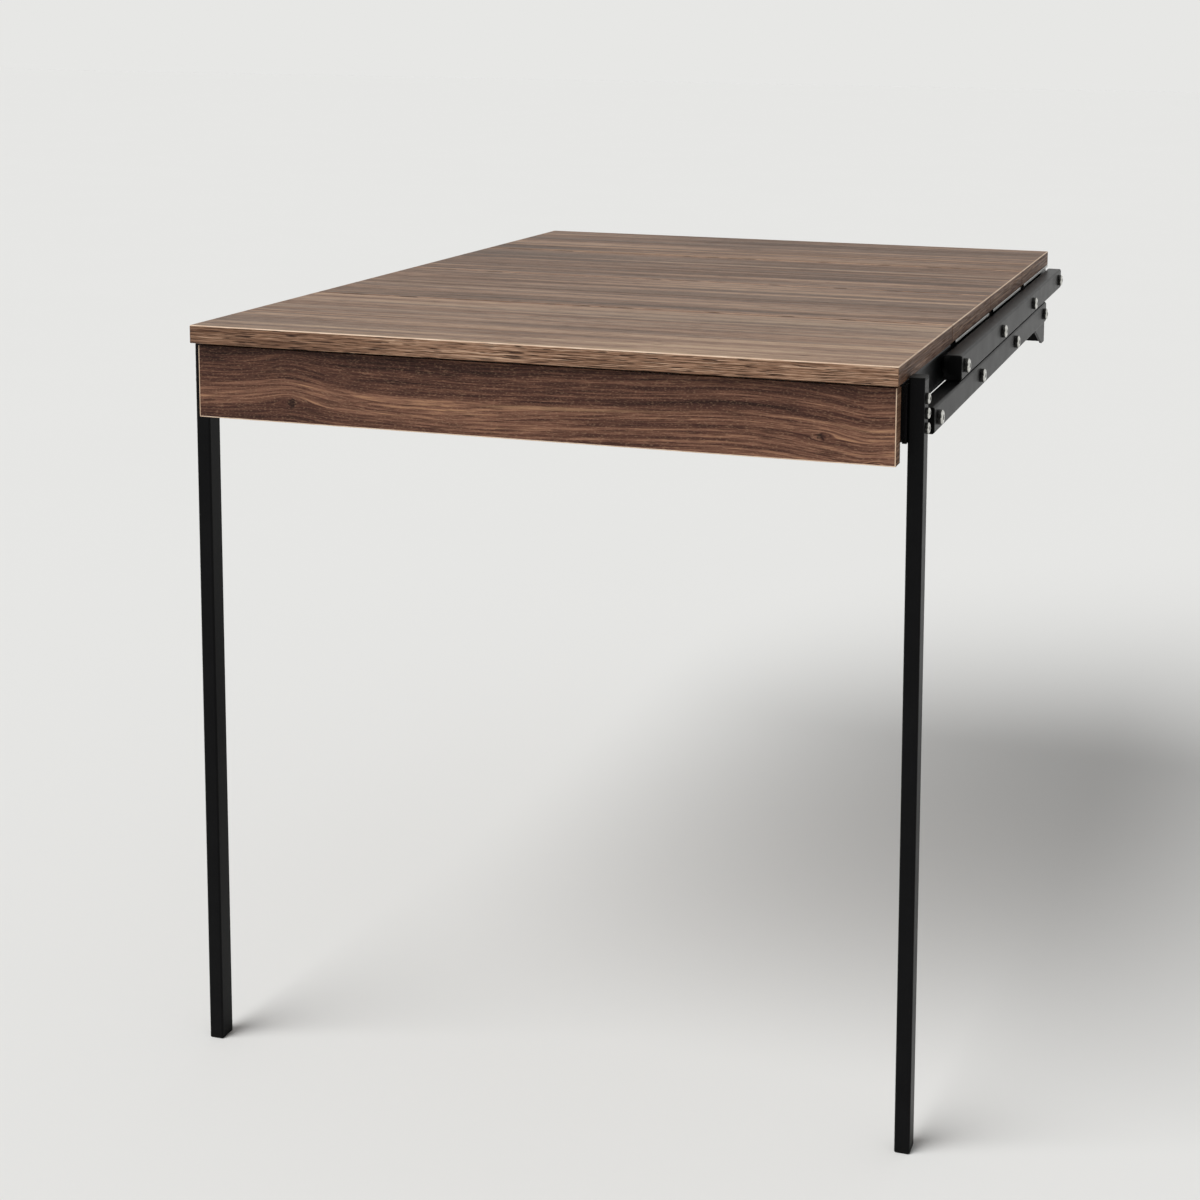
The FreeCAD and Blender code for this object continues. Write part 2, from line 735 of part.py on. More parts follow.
def build_apron():
    """Apron board, banded at its ends and lower edge."""
    board = new_body("apron_board")
    band = "Sizes.EdgingThick"
    inner = f"Layout.ApronHalf - {band}"
    back = new_sketch(board, "XZ_Plane", "Layout.ApronBack")
    rectangle(back, f"-({inner})", inner, f"-(Layout.ApronDrop - {band})", "-Layout.StripDrop")
    pad(board, back, "Sizes.BoardThick")
    keep(place_on_leaf(board, 3), board.Name)

    edging = new_body("apron_edging")
    face = new_sketch(edging, "XZ_Plane", "Layout.ApronBack")
    outline(
        face,
        (
            ("-Layout.ApronHalf", "-Layout.StripDrop"),
            ("-Layout.ApronHalf", "-Layout.ApronDrop"),
            ("Layout.ApronHalf", "-Layout.ApronDrop"),
            ("Layout.ApronHalf", "-Layout.StripDrop"),
            (inner, "-Layout.StripDrop"),
            (inner, f"-(Layout.ApronDrop - {band})"),
            (f"-({inner})", f"-(Layout.ApronDrop - {band})"),
            (f"-({inner})", "-Layout.StripDrop"),
        ),
    )
    pad(edging, face, "Sizes.BoardThick")
    keep(place_on_leaf(edging, 3), edging.Name)


def build_apron_cleats():
    """Steel cleats between the front leaf's underside and the apron's rear face."""
    body = new_body("Cleat")
    end = new_sketch(body, "YZ_Plane")
    outline(
        end,
        (
            (0, 0),
            ("Sizes.CleatSide", 0),
            ("Sizes.CleatSide", "-Sizes.CleatThick"),
            ("Sizes.CleatThick", "-Sizes.CleatThick"),
            ("Sizes.CleatThick", "-Sizes.CleatSide"),
            (0, "-Sizes.CleatSide"),
        ),
    )
    pad(body, end, "Sizes.CleatLength", both=True)
    is_bend = lambda edge: runs_along(edge, "x") and edge.CenterOfMass.Length < TINY
    round_edges(body, "Sizes.CleatRound", is_bend)
    spots = []
    for side in (1, -1):
        spots.append((f"{side} * Sizes.CleatSpacing / 2", "-Layout.ApronBack", "-Sizes.BoardThick", AS_MADE))
    place_on_leaf(copies("apron_cleats", body, spots), 3)


def build_all():
    for number in range(len(LEAVES)):
        build_board(number)
        build_edging(number)
        build_pivot_fasteners(number)
    build_wall_brackets()
    for number in range(1, len(LEAVES)):
        build_carriers(number)
    for side_name, side in SIDES.items():
        for level, upper in (("upper", True), ("lower", False)):
            name = f"{level}_arm_{side_name}"
            build_arm(name, side, upper)
            build_arm_plugs(f"{name}_plugs", side, upper)
        build_leg(side_name)
    build_packing_plates()
    build_leg_fasteners()
    build_leg_ends()
    build_apron()
    build_apron_cleats()


def check_document():
    """Stop on any failed object or sub-part before anything is written."""
    for thing in doc.Objects:
        if "Invalid" in thing.State or "Error" in thing.State:
            raise RuntimeError(f"{thing.Label} is {thing.State}")
    for node in nodes:
        if node.Shape.isNull() or not node.Shape.isValid() or not node.Shape.Solids:
            raise RuntimeError(f"{node.Label} has no valid shape")


def write_parts():
    os.makedirs("parts", exist_ok=True)
    for node in nodes:
        node.Shape.exportStep(f"parts/{node.Label}.step")
        print(f"{node.Label}: {len(node.Shape.Solids)} solids, {node.Shape.Volume / 1000:.1f} cm3")


build_all()
doc.recompute()
check_document()
write_parts()
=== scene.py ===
"""Looks of the folding wall table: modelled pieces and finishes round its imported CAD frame."""

import logging
import math
from abc import ABC, abstractmethod
from collections.abc import Callable, Iterator, Sequence
from contextlib import contextmanager
from dataclasses import dataclass
from enum import Enum
from typing import ClassVar

import bpy
from mathutils import Matrix, Vector


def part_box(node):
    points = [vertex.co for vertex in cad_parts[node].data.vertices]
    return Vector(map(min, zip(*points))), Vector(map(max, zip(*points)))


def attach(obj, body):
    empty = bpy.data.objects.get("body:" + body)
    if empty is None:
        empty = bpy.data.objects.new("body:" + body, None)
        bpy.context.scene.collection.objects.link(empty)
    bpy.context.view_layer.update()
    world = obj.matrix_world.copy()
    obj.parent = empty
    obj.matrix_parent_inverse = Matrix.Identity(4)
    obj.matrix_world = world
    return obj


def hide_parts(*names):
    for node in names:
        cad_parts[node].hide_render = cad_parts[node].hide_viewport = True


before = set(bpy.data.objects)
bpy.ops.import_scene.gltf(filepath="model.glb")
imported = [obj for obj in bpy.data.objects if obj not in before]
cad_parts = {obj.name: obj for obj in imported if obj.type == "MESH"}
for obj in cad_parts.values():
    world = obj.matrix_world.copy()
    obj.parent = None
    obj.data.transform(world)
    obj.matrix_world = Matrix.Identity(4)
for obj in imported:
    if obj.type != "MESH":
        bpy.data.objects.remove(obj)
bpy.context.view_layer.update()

Piece = bpy.types.Object
Material = bpy.types.Material
Triple = tuple[float, float, float]
Spot = tuple[Vector, float, int]

LOG = logging.getLogger("folding_wall_table")
MM = 0.001
TINY = 1e-5
QUARTER = math.pi / 2
SQUARE_ON = 0.99  # least part along an axis of the normal of a face that is square to it
FLATS = math.cos(math.pi / 6)  # a hexagon's size across its flats over that across its corners
STRIP = 3.0 * MM  # thickness of the strips under the leaves
WHITE = (1.0, 1.0, 1.0, 1.0)


class Labelled(Enum):
    """Choice whose name is part of the names of nodes."""

    @property
    def label(self) -> str:
        """Its name as nodes have it."""
        return self.name.lower()


class Leaf(Labelled):
    """The four boards of the top, counted out from the wall."""

    WALL = 0
    INNER = 1
    MIDDLE = 2
    FRONT = 3

    @property
    def body(self) -> str:
        """CAD body that the leaf rides on."""
        return "wall_frame" if self is Leaf.WALL else f"{self.label}_leaf"

    @property
    def bracket(self) -> str:
        """Stem of the names of the two brackets under the leaf."""
        return "wall_bracket" if self is Leaf.WALL else f"{self.label}_carrier"


class Side(Labelled):
    """Right or left end of the table, as the sign of X."""

    RIGHT = 1
    LEFT = -1


class Level(Labelled):
    """Upper or lower arm of a pair."""

    UPPER = 1
    LOWER = 2


# Shaders


def paint(code: str) -> tuple[float, float, float, float]:
    """Colour of a paint chart code.

    Args:
        code: Six hexadecimal digits, as the colour is seen.

    Returns:
        The colour in linear light, with full alpha.
    """
    parts = [int(code[start : start + 2], 16) / 255 for start in (0, 2, 4)]
    linear = [part / 12.92 if part <= 0.04045 else ((part + 0.055) / 1.055) ** 2.4 for part in parts]
    return (*linear, 1.0)


def arithmetic(operation: str, swapped: bool = False) -> Callable[["Wire", object], "Wire"]:
    """Make an operator of Wire.

    Args:
        operation: Name of the operation in the Math nodes.
        swapped: Whether the wire is the second value.

    Returns:
        The operator.
    """

    def operator(wire: "Wire", other: object) -> "Wire":
        """Add the node for a wire and another value."""
        return wire.combine(operation, *((other, wire) if swapped else (wire, other)))

    return operator


class Wire:
    """An output of a shader node, with arithmetic that adds the nodes it needs."""

    __add__ = arithmetic("ADD")
    __radd__ = arithmetic("ADD", swapped=True)
    __sub__ = arithmetic("SUBTRACT")
    __rsub__ = arithmetic("SUBTRACT", swapped=True)
    __mul__ = arithmetic("MULTIPLY")
    __truediv__ = arithmetic("DIVIDE")
    __rtruediv__ = arithmetic("DIVIDE", swapped=True)

    def __init__(self, shader: "Shader", socket: bpy.types.NodeSocket) -> None:
        """Wrap an output of a node in the shader's tree."""
        self.shader = shader
        self.socket = socket

    def combine(self, operation: str, first: object, second: object) -> "Wire":
        """Add the Math or Vector Math node for an operation.

        Args:
            operation: Its name, which both kinds of node have.
            first: A wire, a number or three numbers.
            second: Another.

        Returns:
            The result.
        """
        pair = (first, second)
        kinds = [value.socket.type if isinstance(value, Wire) else type(value) for value in pair]
        if tuple in kinds or "VECTOR" in kinds:
            values = [(value,) * 3 if isinstance(value, (int, float)) else value for value in pair]
            return self.shader.node("ShaderNodeVectorMath", {"operation": operation}, dict(enumerate(values)))
        return self.shader.node("ShaderNodeMath", {"operation": operation}, dict(enumerate(pair)))

    def __abs__(self) -> "Wire":
        """Size without its sign."""
        return self.combine("ABSOLUTE", self, 0.0)

    def fraction(self) -> "Wire":
        """What is left over a whole number."""
        return self.combine("FRACT", self, 0.0)

    def rise(self, low: float, high: float) -> "Wire":
        """Smooth step from 0 to 1.

        Args:
            low: Where it starts.
            high: Where it ends; under low for a step down.

        Returns:
            The step.
        """
        ends = (high, low, 1.0, 0.0) if high < low else (low, high, 0.0, 1.0)
        settings = {"interpolation_type": "SMOOTHSTEP"}
        return self.shader.node("ShaderNodeMapRange", settings, {0: self, **dict(enumerate(ends, 1))})

    def part(self, axis: str) -> "Wire":
        """The X, Y or Z of a vector."""
        return self.shader.node("ShaderNodeSeparateXYZ", {}, {0: self}, output=axis)


class Shader:
    """Node tree of a material or world under construction."""

    def __init__(self, owner: Material | bpy.types.World) -> None:
        """Start with an empty tree.

        Args:
            owner: The material or world.
        """
        owner.use_nodes = True
        self.owner = owner
        self.tree = owner.node_tree
        self.tree.nodes.clear()

    def node(self, kind: str, settings: dict, inputs: dict, output: int | str = 0) -> Wire:
        """Add a node.

        Args:
            kind: Its type.
            settings: Its properties; "stops" gives a ramp's places and colours.
            inputs: Values or wires by the name or number of their socket.
            output: Which output to hand back.

        Returns:
            That output.
        """
        made = self.tree.nodes.new(kind)
        for key, setting in settings.items():
            if key == "stops":
                ramp = made.color_ramp.elements
                while len(ramp) < len(setting):
                    ramp.new(1.0)
                for element, (place, colour) in zip(ramp, setting):
                    element.position = place
                    element.color = colour
            else:
                setattr(made, key, setting)
        for key, value in inputs.items():
            if isinstance(value, Wire):
                self.tree.links.new(value.socket, made.inputs[key])
            else:
                made.inputs[key].default_value = value
        return Wire(self, made.outputs[output])

    def vector(self, **parts: Wire) -> Wire:
        """Put a vector together from its X, Y and Z, which are 0 where they aren't given."""
        return self.node("ShaderNodeCombineXYZ", {}, parts)

    def noise(self, point: Wire, detail: float = 2.0, roughness: float = 0.5) -> Wire:
        """Noise near 0.5, seldom outside 0.2 to 0.8, with features about one unit apart."""
        inputs = {"Vector": point, "Scale": 1.0, "Detail": detail, "Roughness": roughness}
        return self.node("ShaderNodeTexNoise", {}, inputs)

    def ramp(self, value: Wire, stops: Sequence[tuple[float, str]]) -> Wire:
        """Choose a colour by a value, from paint codes at their places."""
        painted = [(place, paint(code)) for place, code in stops]
        return self.node("ShaderNodeValToRGB", {"stops": painted}, {0: value})

    def blend(self, factor: Wire, first: Wire | tuple, second: Wire | tuple) -> Wire:
        """Mix two colours, with this much of the second."""
        return self.node("ShaderNodeMix", {"data_type": "RGBA"}, {0: factor, 6: first, 7: second}, output=2)

    def bump(self, height: Wire, depth: float, strength: float = 1.0) -> Wire:
        """Normal of a surface whose height, from 0 to 1, stands for this depth."""
        return self.node("ShaderNodeBump", {}, {"Strength": strength, "Distance": depth, "Height": height})

    def close(self, kind: str, surface: Wire) -> None:
        """Add the output node, of this kind, to show a surface."""
        end = self.tree.nodes.new(kind)
        self.tree.links.new(surface.socket, end.inputs["Surface"])

    def finish(self, **inputs: object) -> Material:
        """Close the material with its surface shader.

        Args:
            inputs: Values or wires by the names of their sockets, with underscores for spaces.

        Returns:
            The material.
        """
        named = {key.replace("_", " "): value for key, value in inputs.items()}
        self.close("ShaderNodeOutputMaterial", self.node("ShaderNodeBsdfPrincipled", {}, named))
        return self.owner


@dataclass(frozen=True)
class Finish(ABC):
    """A surface finish with the name of its material, made once and then handed out."""

    name: str
    made: ClassVar[dict["Finish", Material]] = {}

    @property
    def material(self) -> Material:
        """The finish's material, built the first time it is asked for.

        Returns:
            The material.
        """
        if self not in Finish.made:
            Finish.made[self] = self.build()
        return Finish.made[self]

    def begin(self) -> tuple[Shader, Wire]:
        """Start the material: its empty shader, and where the shaded point is."""
        shader = Shader(bpy.data.materials.new(self.name))
        return shader, shader.node("ShaderNodeTexCoord", {}, {}, output="Object")

    @abstractmethod
    def build(self) -> Material:
        """Build the material."""


@dataclass(frozen=True)
class Knot:
    """Small knot at an X and Z that the grain flows round.

    Attributes:
        reach: How many times further it bends the grain along X than across.
        calm: What keeps the bend finite at the heart.
    """

    along: float
    up: float
    radius: float
    reach: float = 3.2
    calm: float = 0.35

    def bend(self, along: Wire, up: Wire, ragged: Wire) -> tuple[Wire, Wire]:
        """Lead the grain round the knot.

        Args:
            along: X on the sheet.
            up: Height of the grain line so far.
            ragged: Small shift that keeps the knot from being an even oval.

        Returns:
            The bent height, and how far out from the knot's dark heart the place is, in radii squared.
        """
        beside = (along - self.along) / (self.reach * self.radius)
        above = up - self.up
        out = beside * beside + (above / self.radius) * (above / self.radius)
        across = (along - self.along + ragged) / self.radius
        over = (above + ragged) / self.radius
        return above * (1.0 - 1.0 / (out + self.calm)) + self.up, across * across + over * over


@dataclass(frozen=True)
class Layer:
    """Noise drawn out along the grain, by its features in a metre along and across it."""

    along: float
    across: float
    detail: float = 2.0
    roughness: float = 0.5

    def read(self, shader: Shader, point: Wire) -> Wire:
        """Read the layer at a point of the decor sheet."""
        return shader.noise(point * (self.along, self.across, self.across), self.detail, self.roughness)


SWAY = Layer(1.8, 7.0)
TONES = (
    Layer(2.2, 13.0),  # smoky clouds
    Layer(0.8, 48.0),  # growth bands, two centimetres wide
    Layer(2.4, 150.0, 3.0, 0.6),  # streaks, some six millimetres wide
    Layer(5.0, 430.0, 2.0, 0.6),  # lines, some two millimetres wide
    Layer(36.0, 950.0, 2.0, 0.7),  # fibres
)
GREY_STREAKS = Layer(0.9, 70.0, 1.0)
BRIGHT_STREAKS = Layer(0.5, 110.0, 1.0)
FLECKS = Layer(320.0, 1100.0, 1.0)
PORES = Layer(42.0, 1100.0, 1.0)


@dataclass(frozen=True)
class WalnutLaminate(Finish):
    """Walnut decor with its grain along X.

    Attributes:
        sheet: Which stretch of the decor sheet the piece is cut from.
        lift: How much lighter the piece is, as a shift along the shades; on the leaves of the top it is
            painted light and shade, on the apron a darker tone.
        swells: X, height and half width of the long arches in the grain.
        shades: Darkest to lightest tone, at their stops.
        rings: Growth rings in a metre of board, with late edges that are ringed this dark.
        weights: Strengths of the layers of tones.
        gloss: Index of refraction of its top coat.
        ragged: How far the knots' outlines stray.
        swaying: How far the grain strays from straight.
    """

    sheet: Triple
    lift: float = 0.0
    knots: tuple[Knot, ...] = ()
    swells: tuple[Triple, ...] = ()
    shades: tuple[str, ...] = ("3f2b1f", "604837", "7a5f4d", "927763", "ae937a")
    rings: float = 85.0
    ringed: float = 0.1
    weights: tuple[float, ...] = (0.7, 1.1, 0.7, 0.35, 0.6)
    flecked: float = 0.18
    greyed: float = 0.42
    gloss: float = 1.3
    stops: tuple[float, ...] = (0.14, 0.36, 0.5, 0.64, 0.86)
    ragged: float = 12.0 * MM
    swaying: float = 14.0 * MM

    def flow(self, shader: Shader, place: Wire) -> tuple[Wire, Wire]:
        """Follow the grain round the knots and over the arches.

        Args:
            shader: The material's shader.
            place: Where the shaded point is.

        Returns:
            The place on the sheet along straightened grain, and the darkness of the knots.
        """
        along = place.part("X")
        up = place.part("Z")
        ragged = (shader.noise(place * 140.0) - 0.5) * self.ragged
        dark = along * 0.0
        for knot in self.knots:
            up, heart = knot.bend(along, up, ragged)
            dark = dark + heart.rise(1.3, 0.1)
        for crest, rise, half in self.swells:
            beside = (along - crest) / half
            up = up - rise / (1.0 + beside * beside)
        return shader.vector(X=along, Y=place.part("Y"), Z=up) + self.sheet, dark

    def build(self) -> Material:
        """Lay noises over one another as tones, and marks of other colours over those.

        Returns:
            The material.
        """
        shader, place = self.begin()
        point, knot = self.flow(shader, place)
        sway = (SWAY.read(shader, point) - 0.5) * self.swaying
        point = point + shader.vector(Y=sway, Z=sway)
        smoke, band, *finer = tones = [layer.read(shader, point) - 0.5 for layer in TONES]
        across = point.part("Y") + point.part("Z")
        ring = (across * self.rings + smoke * 8.0 + band * 5.0).fraction().rise(0.35, 1.0) - 0.35
        # The lift shifts the whole tone: painted light and shade on the leaves of the top, a darker tone on
        # the apron.
        tone = (0.5 + self.lift) - ring * self.ringed - knot * 0.4
        for layer, weight in zip(tones, self.weights):
            tone = tone + layer * weight
        colour = shader.ramp(tone, tuple(zip(self.stops, self.shades)))
        for layer, low, high, strength, code in (
            (GREY_STREAKS, 0.46, 0.58, self.greyed, "61574f"),
            (BRIGHT_STREAKS, 0.62, 0.72, 0.45, "b08a69"),
            (FLECKS, 0.52, 0.72, self.flecked, "b08d70"),
            (PORES, 0.57, 0.68, 0.5, "2a1a14"),
        ):
            marks = layer.read(shader, point).rise(low, high)
            colour = shader.blend(marks * strength, colour, paint(code))
        return shader.finish(
            Base_Color=colour,
            IOR=self.gloss,
            Roughness=0.55 + marks * 0.15 + finer[-1] * 0.1,
            Normal=shader.bump((1.0 - marks) * 0.7 + finer[-1] * 0.6, 0.07 * MM),
        )


@dataclass(frozen=True)
class PrintedBand(Finish):
    """Printed outer face of an edge band: lighter than the boards, with short dark dashes along it.

    Attributes:
        turn: Half the width of the board; beyond it the band runs along Y.
        dusky: How much darker its left end is.
    """

    turn: float
    dusky: float = 0.0

    def build(self) -> Material:
        """Run the print round the corners, with its dashes, its darker left end and painted shade on the
        board's end faces.

        Returns:
            The material.
        """
        shader, point = self.begin()
        side = abs(point.part("X")).rise(self.turn - 0.6 * MM, self.turn - 0.4 * MM)
        along = point.part("X") * (1.0 - side) + point.part("Y") * side
        run = shader.vector(X=along, Y=side * 0.37, Z=point.part("Z"))
        broad = shader.noise(run * (3.0, 1.0, 120.0), detail=1.0) - 0.5
        line = shader.noise(run * (10.0, 1.0, 1300.0), detail=1.0, roughness=0.7) - 0.5
        fibre = shader.noise(run * (70.0, 1.0, 1900.0)) - 0.5
        dash = shader.noise(run * (36.0, 1.0, 1250.0), detail=1.0).rise(0.55, 0.6)
        left = along.rise(-0.08, -0.22) * self.dusky
        # The end faces, where the band runs along Y, are darker by 0.15: painted shade.
        tone = broad * 0.25 + line * 1.3 + fibre * 0.8 + 0.5 - side * 0.15 - left
        colour = shader.ramp(tone, ((0.2, "563b2b"), (0.5, "896852"), (0.8, "c0a086")))
        return shader.finish(
            Base_Color=shader.blend(dash * (0.9 - side * 0.55), colour, paint("26160f")),
            IOR=1.25,
            Roughness=0.5 + dash * 0.2,
            Normal=shader.bump(1.0 - dash + line, 0.08 * MM),
        )


@dataclass(frozen=True)
class Mottled(Finish):
    """Finish that is shaded by one noise, and roughened by both that and the noise of its relief.

    Attributes:
        clouds: Scale of the shades' noise, whose detail is its octaves.
        relief: Scale of the relief's noise, whose detail is fine and whose height is its depth.
        rough: Its least roughness; clouds and relief add their cloudy and grainy parts.
        step: Where the clouds step into the roughness, unless they do so by themselves.
    """

    clouds: Triple | float
    shades: tuple[tuple[float, str], ...]
    relief: Triple | float
    rough: float
    octaves: float = 3.0
    fine: float = 1.0
    depth: float = 0.03 * MM
    cloudy: float = 0.0
    grainy: float = 0.0
    metallic: float = 0.0
    strength: float = 1.0
    step: tuple[float, float] | None = None

    def build(self) -> Material:
        """Build the material from its two noises.

        Returns:
            The material.
        """
        shader, point = self.begin()
        cloud = shader.noise(point * self.clouds, self.octaves)
        relief = shader.noise(point * self.relief, self.fine)
        dulled = cloud.rise(*self.step) if self.step else cloud
        return shader.finish(
            Base_Color=shader.ramp(cloud, self.shades),
            Metallic=self.metallic,
            Roughness=dulled * self.cloudy + relief * self.grainy + self.rough,
            Normal=shader.bump(relief, self.depth, self.strength),
        )


@dataclass(frozen=True)
class PowderCoat(Finish):
    """Black satin powder coat with a fine orange peel."""

    def build(self) -> Material:
        """Build the coat with its clouds, specks and peel.

        Returns:
            The material.
        """
        shader, point = self.begin()
        peel = shader.noise(point * 1100.0)
        cloud = shader.noise(point * 35.0, detail=3.0)
        speck = shader.noise(point * 2600.0, detail=1.0).rise(0.64, 0.74)
        return shader.finish(
            Base_Color=shader.blend(speck * 0.3 + cloud * 0.1, paint("050506"), paint("343435")),
            IOR=1.17,
            Roughness=0.34 + (cloud - 0.5) * 0.1,
            Normal=shader.bump(peel, 0.04 * MM, 0.6),
        )


@dataclass(frozen=True)
class MouldedPlastic(Finish):
    """Moulded plastic with a spark eroded grain, in a shade and this dull."""

    shade: str
    dull: float

    def build(self) -> Material:
        """Build the plastic with its grain and wear.

        Returns:
            The material.
        """
        shader, point = self.begin()
        grain = shader.noise(point * 1700.0)
        wear = shader.noise(point * 90.0, detail=3.0).rise(0.5, 0.8)
        return shader.finish(
            Base_Color=shader.blend(wear * 0.08, paint(self.shade), paint("6c6c6c")),
            IOR=1.2,
            Roughness=self.dull + (grain - 0.5) * 0.2,
            Normal=shader.bump(grain, 0.06 * MM, 0.6),
        )


@dataclass(frozen=True)
class PaleFloor(Finish):
    """Plain pale floor, which looks evenly pale to the camera away from the object's shadow."""

    def build(self) -> Material:
        """Build the floor with a faint drift of shade.

        Returns:
            The material.
        """
        shader, point = self.begin()
        drift = shader.noise(point * 2.0, detail=3.0)
        colour = shader.blend(drift * 0.1, paint("e9e9e7"), paint("dcdcd9"))
        return shader.finish(Base_Color=colour, IOR=1.05, Roughness=0.9)


POWDER = PowderCoat("black_powder_coat")
CAP = MouldedPlastic("black_cap_plastic", "060606", 0.5)
NYLON = MouldedPlastic("nylon_ring", "c9ccc9", 0.4)
CORE = Mottled(
    "beige_band_core",
    clouds=60.0,
    shades=((0.3, "c4a488"), (0.7, "e2c8ae")),
    relief=900.0,
    rough=0.42,
    grainy=0.12,
)
# Light grey finish of the strips' outer edges: a painted highlight where those edges catch the light.
EDGE = Mottled(
    "painted_highlight_bar_edge",
    clouds=(120.0, 40.0, 500.0),
    shades=((0.3, "d2d2ce"), (0.55, "e6e6e2"), (0.75, "f0efea")),
    relief=(900.0, 60.0, 2400.0),
    rough=0.38,
    grainy=0.14,
    metallic=0.15,
    strength=0.6,
)
BRIGHT = Mottled(
    "polished_bolt_steel",
    clouds=420.0,
    shades=((0.3, "b3b2ac"), (0.7, "e0dfda")),
    relief=(300.0, 900.0, 900.0),
    rough=0.13,
    fine=2.0,
    depth=0.02 * MM,
    cloudy=0.16,
    metallic=1.0,
    strength=0.5,
    step=(0.45, 0.75),
)
# Dark grey finish of the bolt heads' flanks: painted shade, a dark crescent round each head.
PAINTED_SHADE_FLANK = Mottled(
    "painted_shade_bolt_flank",
    clouds=700.0,
    shades=((0.35, "1b1b1a"), (0.65, "3b3a38")),
    relief=700.0,
    rough=0.4,
    fine=3.0,
    cloudy=0.2,
    metallic=0.6,
)
ZINC = Mottled(
    "zinc_plate",
    clouds=260.0,
    shades=((0.3, "9fa3a8"), (0.5, "b6b7b7"), (0.72, "c4beae")),
    relief=3000.0,
    rough=0.32,
    octaves=4.0,
    depth=0.02 * MM,
    cloudy=0.16,
    metallic=1.0,
)


# Bench: modelling by operator


@dataclass(frozen=True)
class Box:
    """A box along the axes, by its lowest and highest corner."""

    low: Vector
    high: Vector

    @property
    def centre(self) -> Vector:
        """Its middle."""
        return (self.low + self.high) / 2

    @property
    def size(self) -> Vector:
        """Its three lengths."""
        return self.high - self.low

    @classmethod
    def of_node(cls, node: str) -> "Box":
        """Box of a CAD node."""
        return cls(*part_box(node))

    @classmethod
    def of_piece(cls, piece: Piece) -> "Box":
        """Box of a piece whose place is in its mesh."""
        axes = list(zip(*(vertex.co for vertex in piece.data.vertices)))
        return cls(Vector(map(min, axes)), Vector(map(max, axes)))


def take(*taken: Piece) -> None:
    """Select these objects and nothing else.

    Args:
        taken: The objects; the first becomes the active one.
    """
    bpy.ops.object.select_all(action="DESELECT")
    for piece in taken:
        piece.select_set(True)
    bpy.context.view_layer.objects.active = taken[0]


def drop(*spent: Piece) -> None:
    """Delete objects."""
    for piece in spent:
        bpy.data.objects.remove(piece)


def christen(name: str) -> Piece:
    """Name the active object and its mesh.

    Args:
        name: The name.

    Returns:
        The piece.
    """
    piece = bpy.context.view_layer.objects.active
    piece.name = name
    piece.data.name = name
    return piece


def settle(name: str) -> Piece:
    """Name the primitive that was just added, and move its place into its mesh.

    Args:
        name: The name.

    Returns:
        The piece.
    """
    take(christen(name))
    bpy.ops.object.transform_apply(location=True, rotation=True, scale=True)
    return christen(name)


def add_block(name: str, box: Box) -> Piece:
    """Start a piece as a block that fills a box."""
    bpy.ops.mesh.primitive_cube_add(size=1.0, location=box.centre, scale=box.size)
    return settle(name)


def add_rod(name: str, radius: float, start: float, end: float, sides: int = 48) -> Piece:
    """Start a piece as a rod on the X axis, from start to end.

    Args:
        name: Its name.
        radius: Its radius, to the corners.
        start: X of its first face.
        end: X of its last face.
        sides: How many sides it has.

    Returns:
        The piece.
    """
    bpy.ops.mesh.primitive_cylinder_add(
        vertices=sides,
        radius=radius,
        depth=abs(end - start),
        location=((start + end) / 2, 0.0, 0.0),
        rotation=(0.0, QUARTER, 0.0),
    )
    return settle(name)


@contextmanager
def editing(piece: Piece) -> Iterator[None]:
    """Keep a piece in edit mode for the length of a with block.

    Args:
        piece: The piece.

    Yields:
        Nothing; the block runs in edit mode.
    """
    take(piece)
    bpy.ops.object.mode_set(mode="EDIT")
    yield
    bpy.ops.object.mode_set(mode="OBJECT")


@contextmanager
def picking(kind: str) -> Iterator[None]:
    """Deselect all, and leave edit mode for a with block that marks what is selected.

    Args:
        kind: FACE or EDGE.

    Yields:
        Nothing; the block runs in object mode.
    """
    bpy.ops.mesh.select_all(action="DESELECT")
    bpy.ops.mesh.select_mode(type=kind)
    bpy.ops.object.mode_set(mode="OBJECT")
    yield
    bpy.ops.object.mode_set(mode="EDIT")


def pick_faces(piece: Piece, wanted: Callable[[Vector, Vector], bool]) -> None:
    """Select faces of the piece being edited.

    Args:
        piece: The piece.
        wanted: Whether a face is wanted, by its centre and normal.
    """
    with picking("FACE"):
        for face in piece.data.polygons:
            face.select = wanted(face.center, face.normal)


def pick_edges(piece: Piece, wanted: Callable[[Vector, Vector], bool]) -> None:
    """Select edges of the piece being edited.

    Args:
        piece: The piece.
        wanted: Whether an edge is wanted, by its two ends.
    """
    with picking("EDGE"):
        for edge in piece.data.edges:
            edge.select = wanted(*(piece.data.vertices[number].co for number in edge.vertices))


def extrude(along: Vector) -> None:
    """Extrude the selected faces of the piece being edited."""
    bpy.ops.mesh.extrude_region_move(TRANSFORM_OT_translate={"value": along})


def bevel(width: float, segments: int = 1, profile: float = 0.5) -> None:
    """Bevel the selected edges of the piece being edited."""
    bpy.ops.mesh.bevel(offset=width, segments=segments, profile=profile, affect="EDGES")


def modify(piece: Piece, kind: str, **settings: object) -> None:
    """Add a modifier to a piece and apply it.

    Args:
        piece: The piece.
        kind: Type of the modifier.
        settings: Its properties.
    """
    modifier = piece.modifiers.new(kind.lower(), kind)
    for key, setting in settings.items():
        setattr(modifier, key, setting)
    take(piece)
    bpy.ops.object.modifier_apply(modifier=modifier.name)


def soften(piece: Piece, width: float, segments: int = 2, angle: float = 30.0) -> None:
    """Round those of a piece's edges that turn by more than this angle in degrees."""
    limit = {"limit_method": "ANGLE", "angle_limit": math.radians(angle)}
    modify(piece, "BEVEL", width=width, segments=segments, use_clamp_overlap=True, **limit)


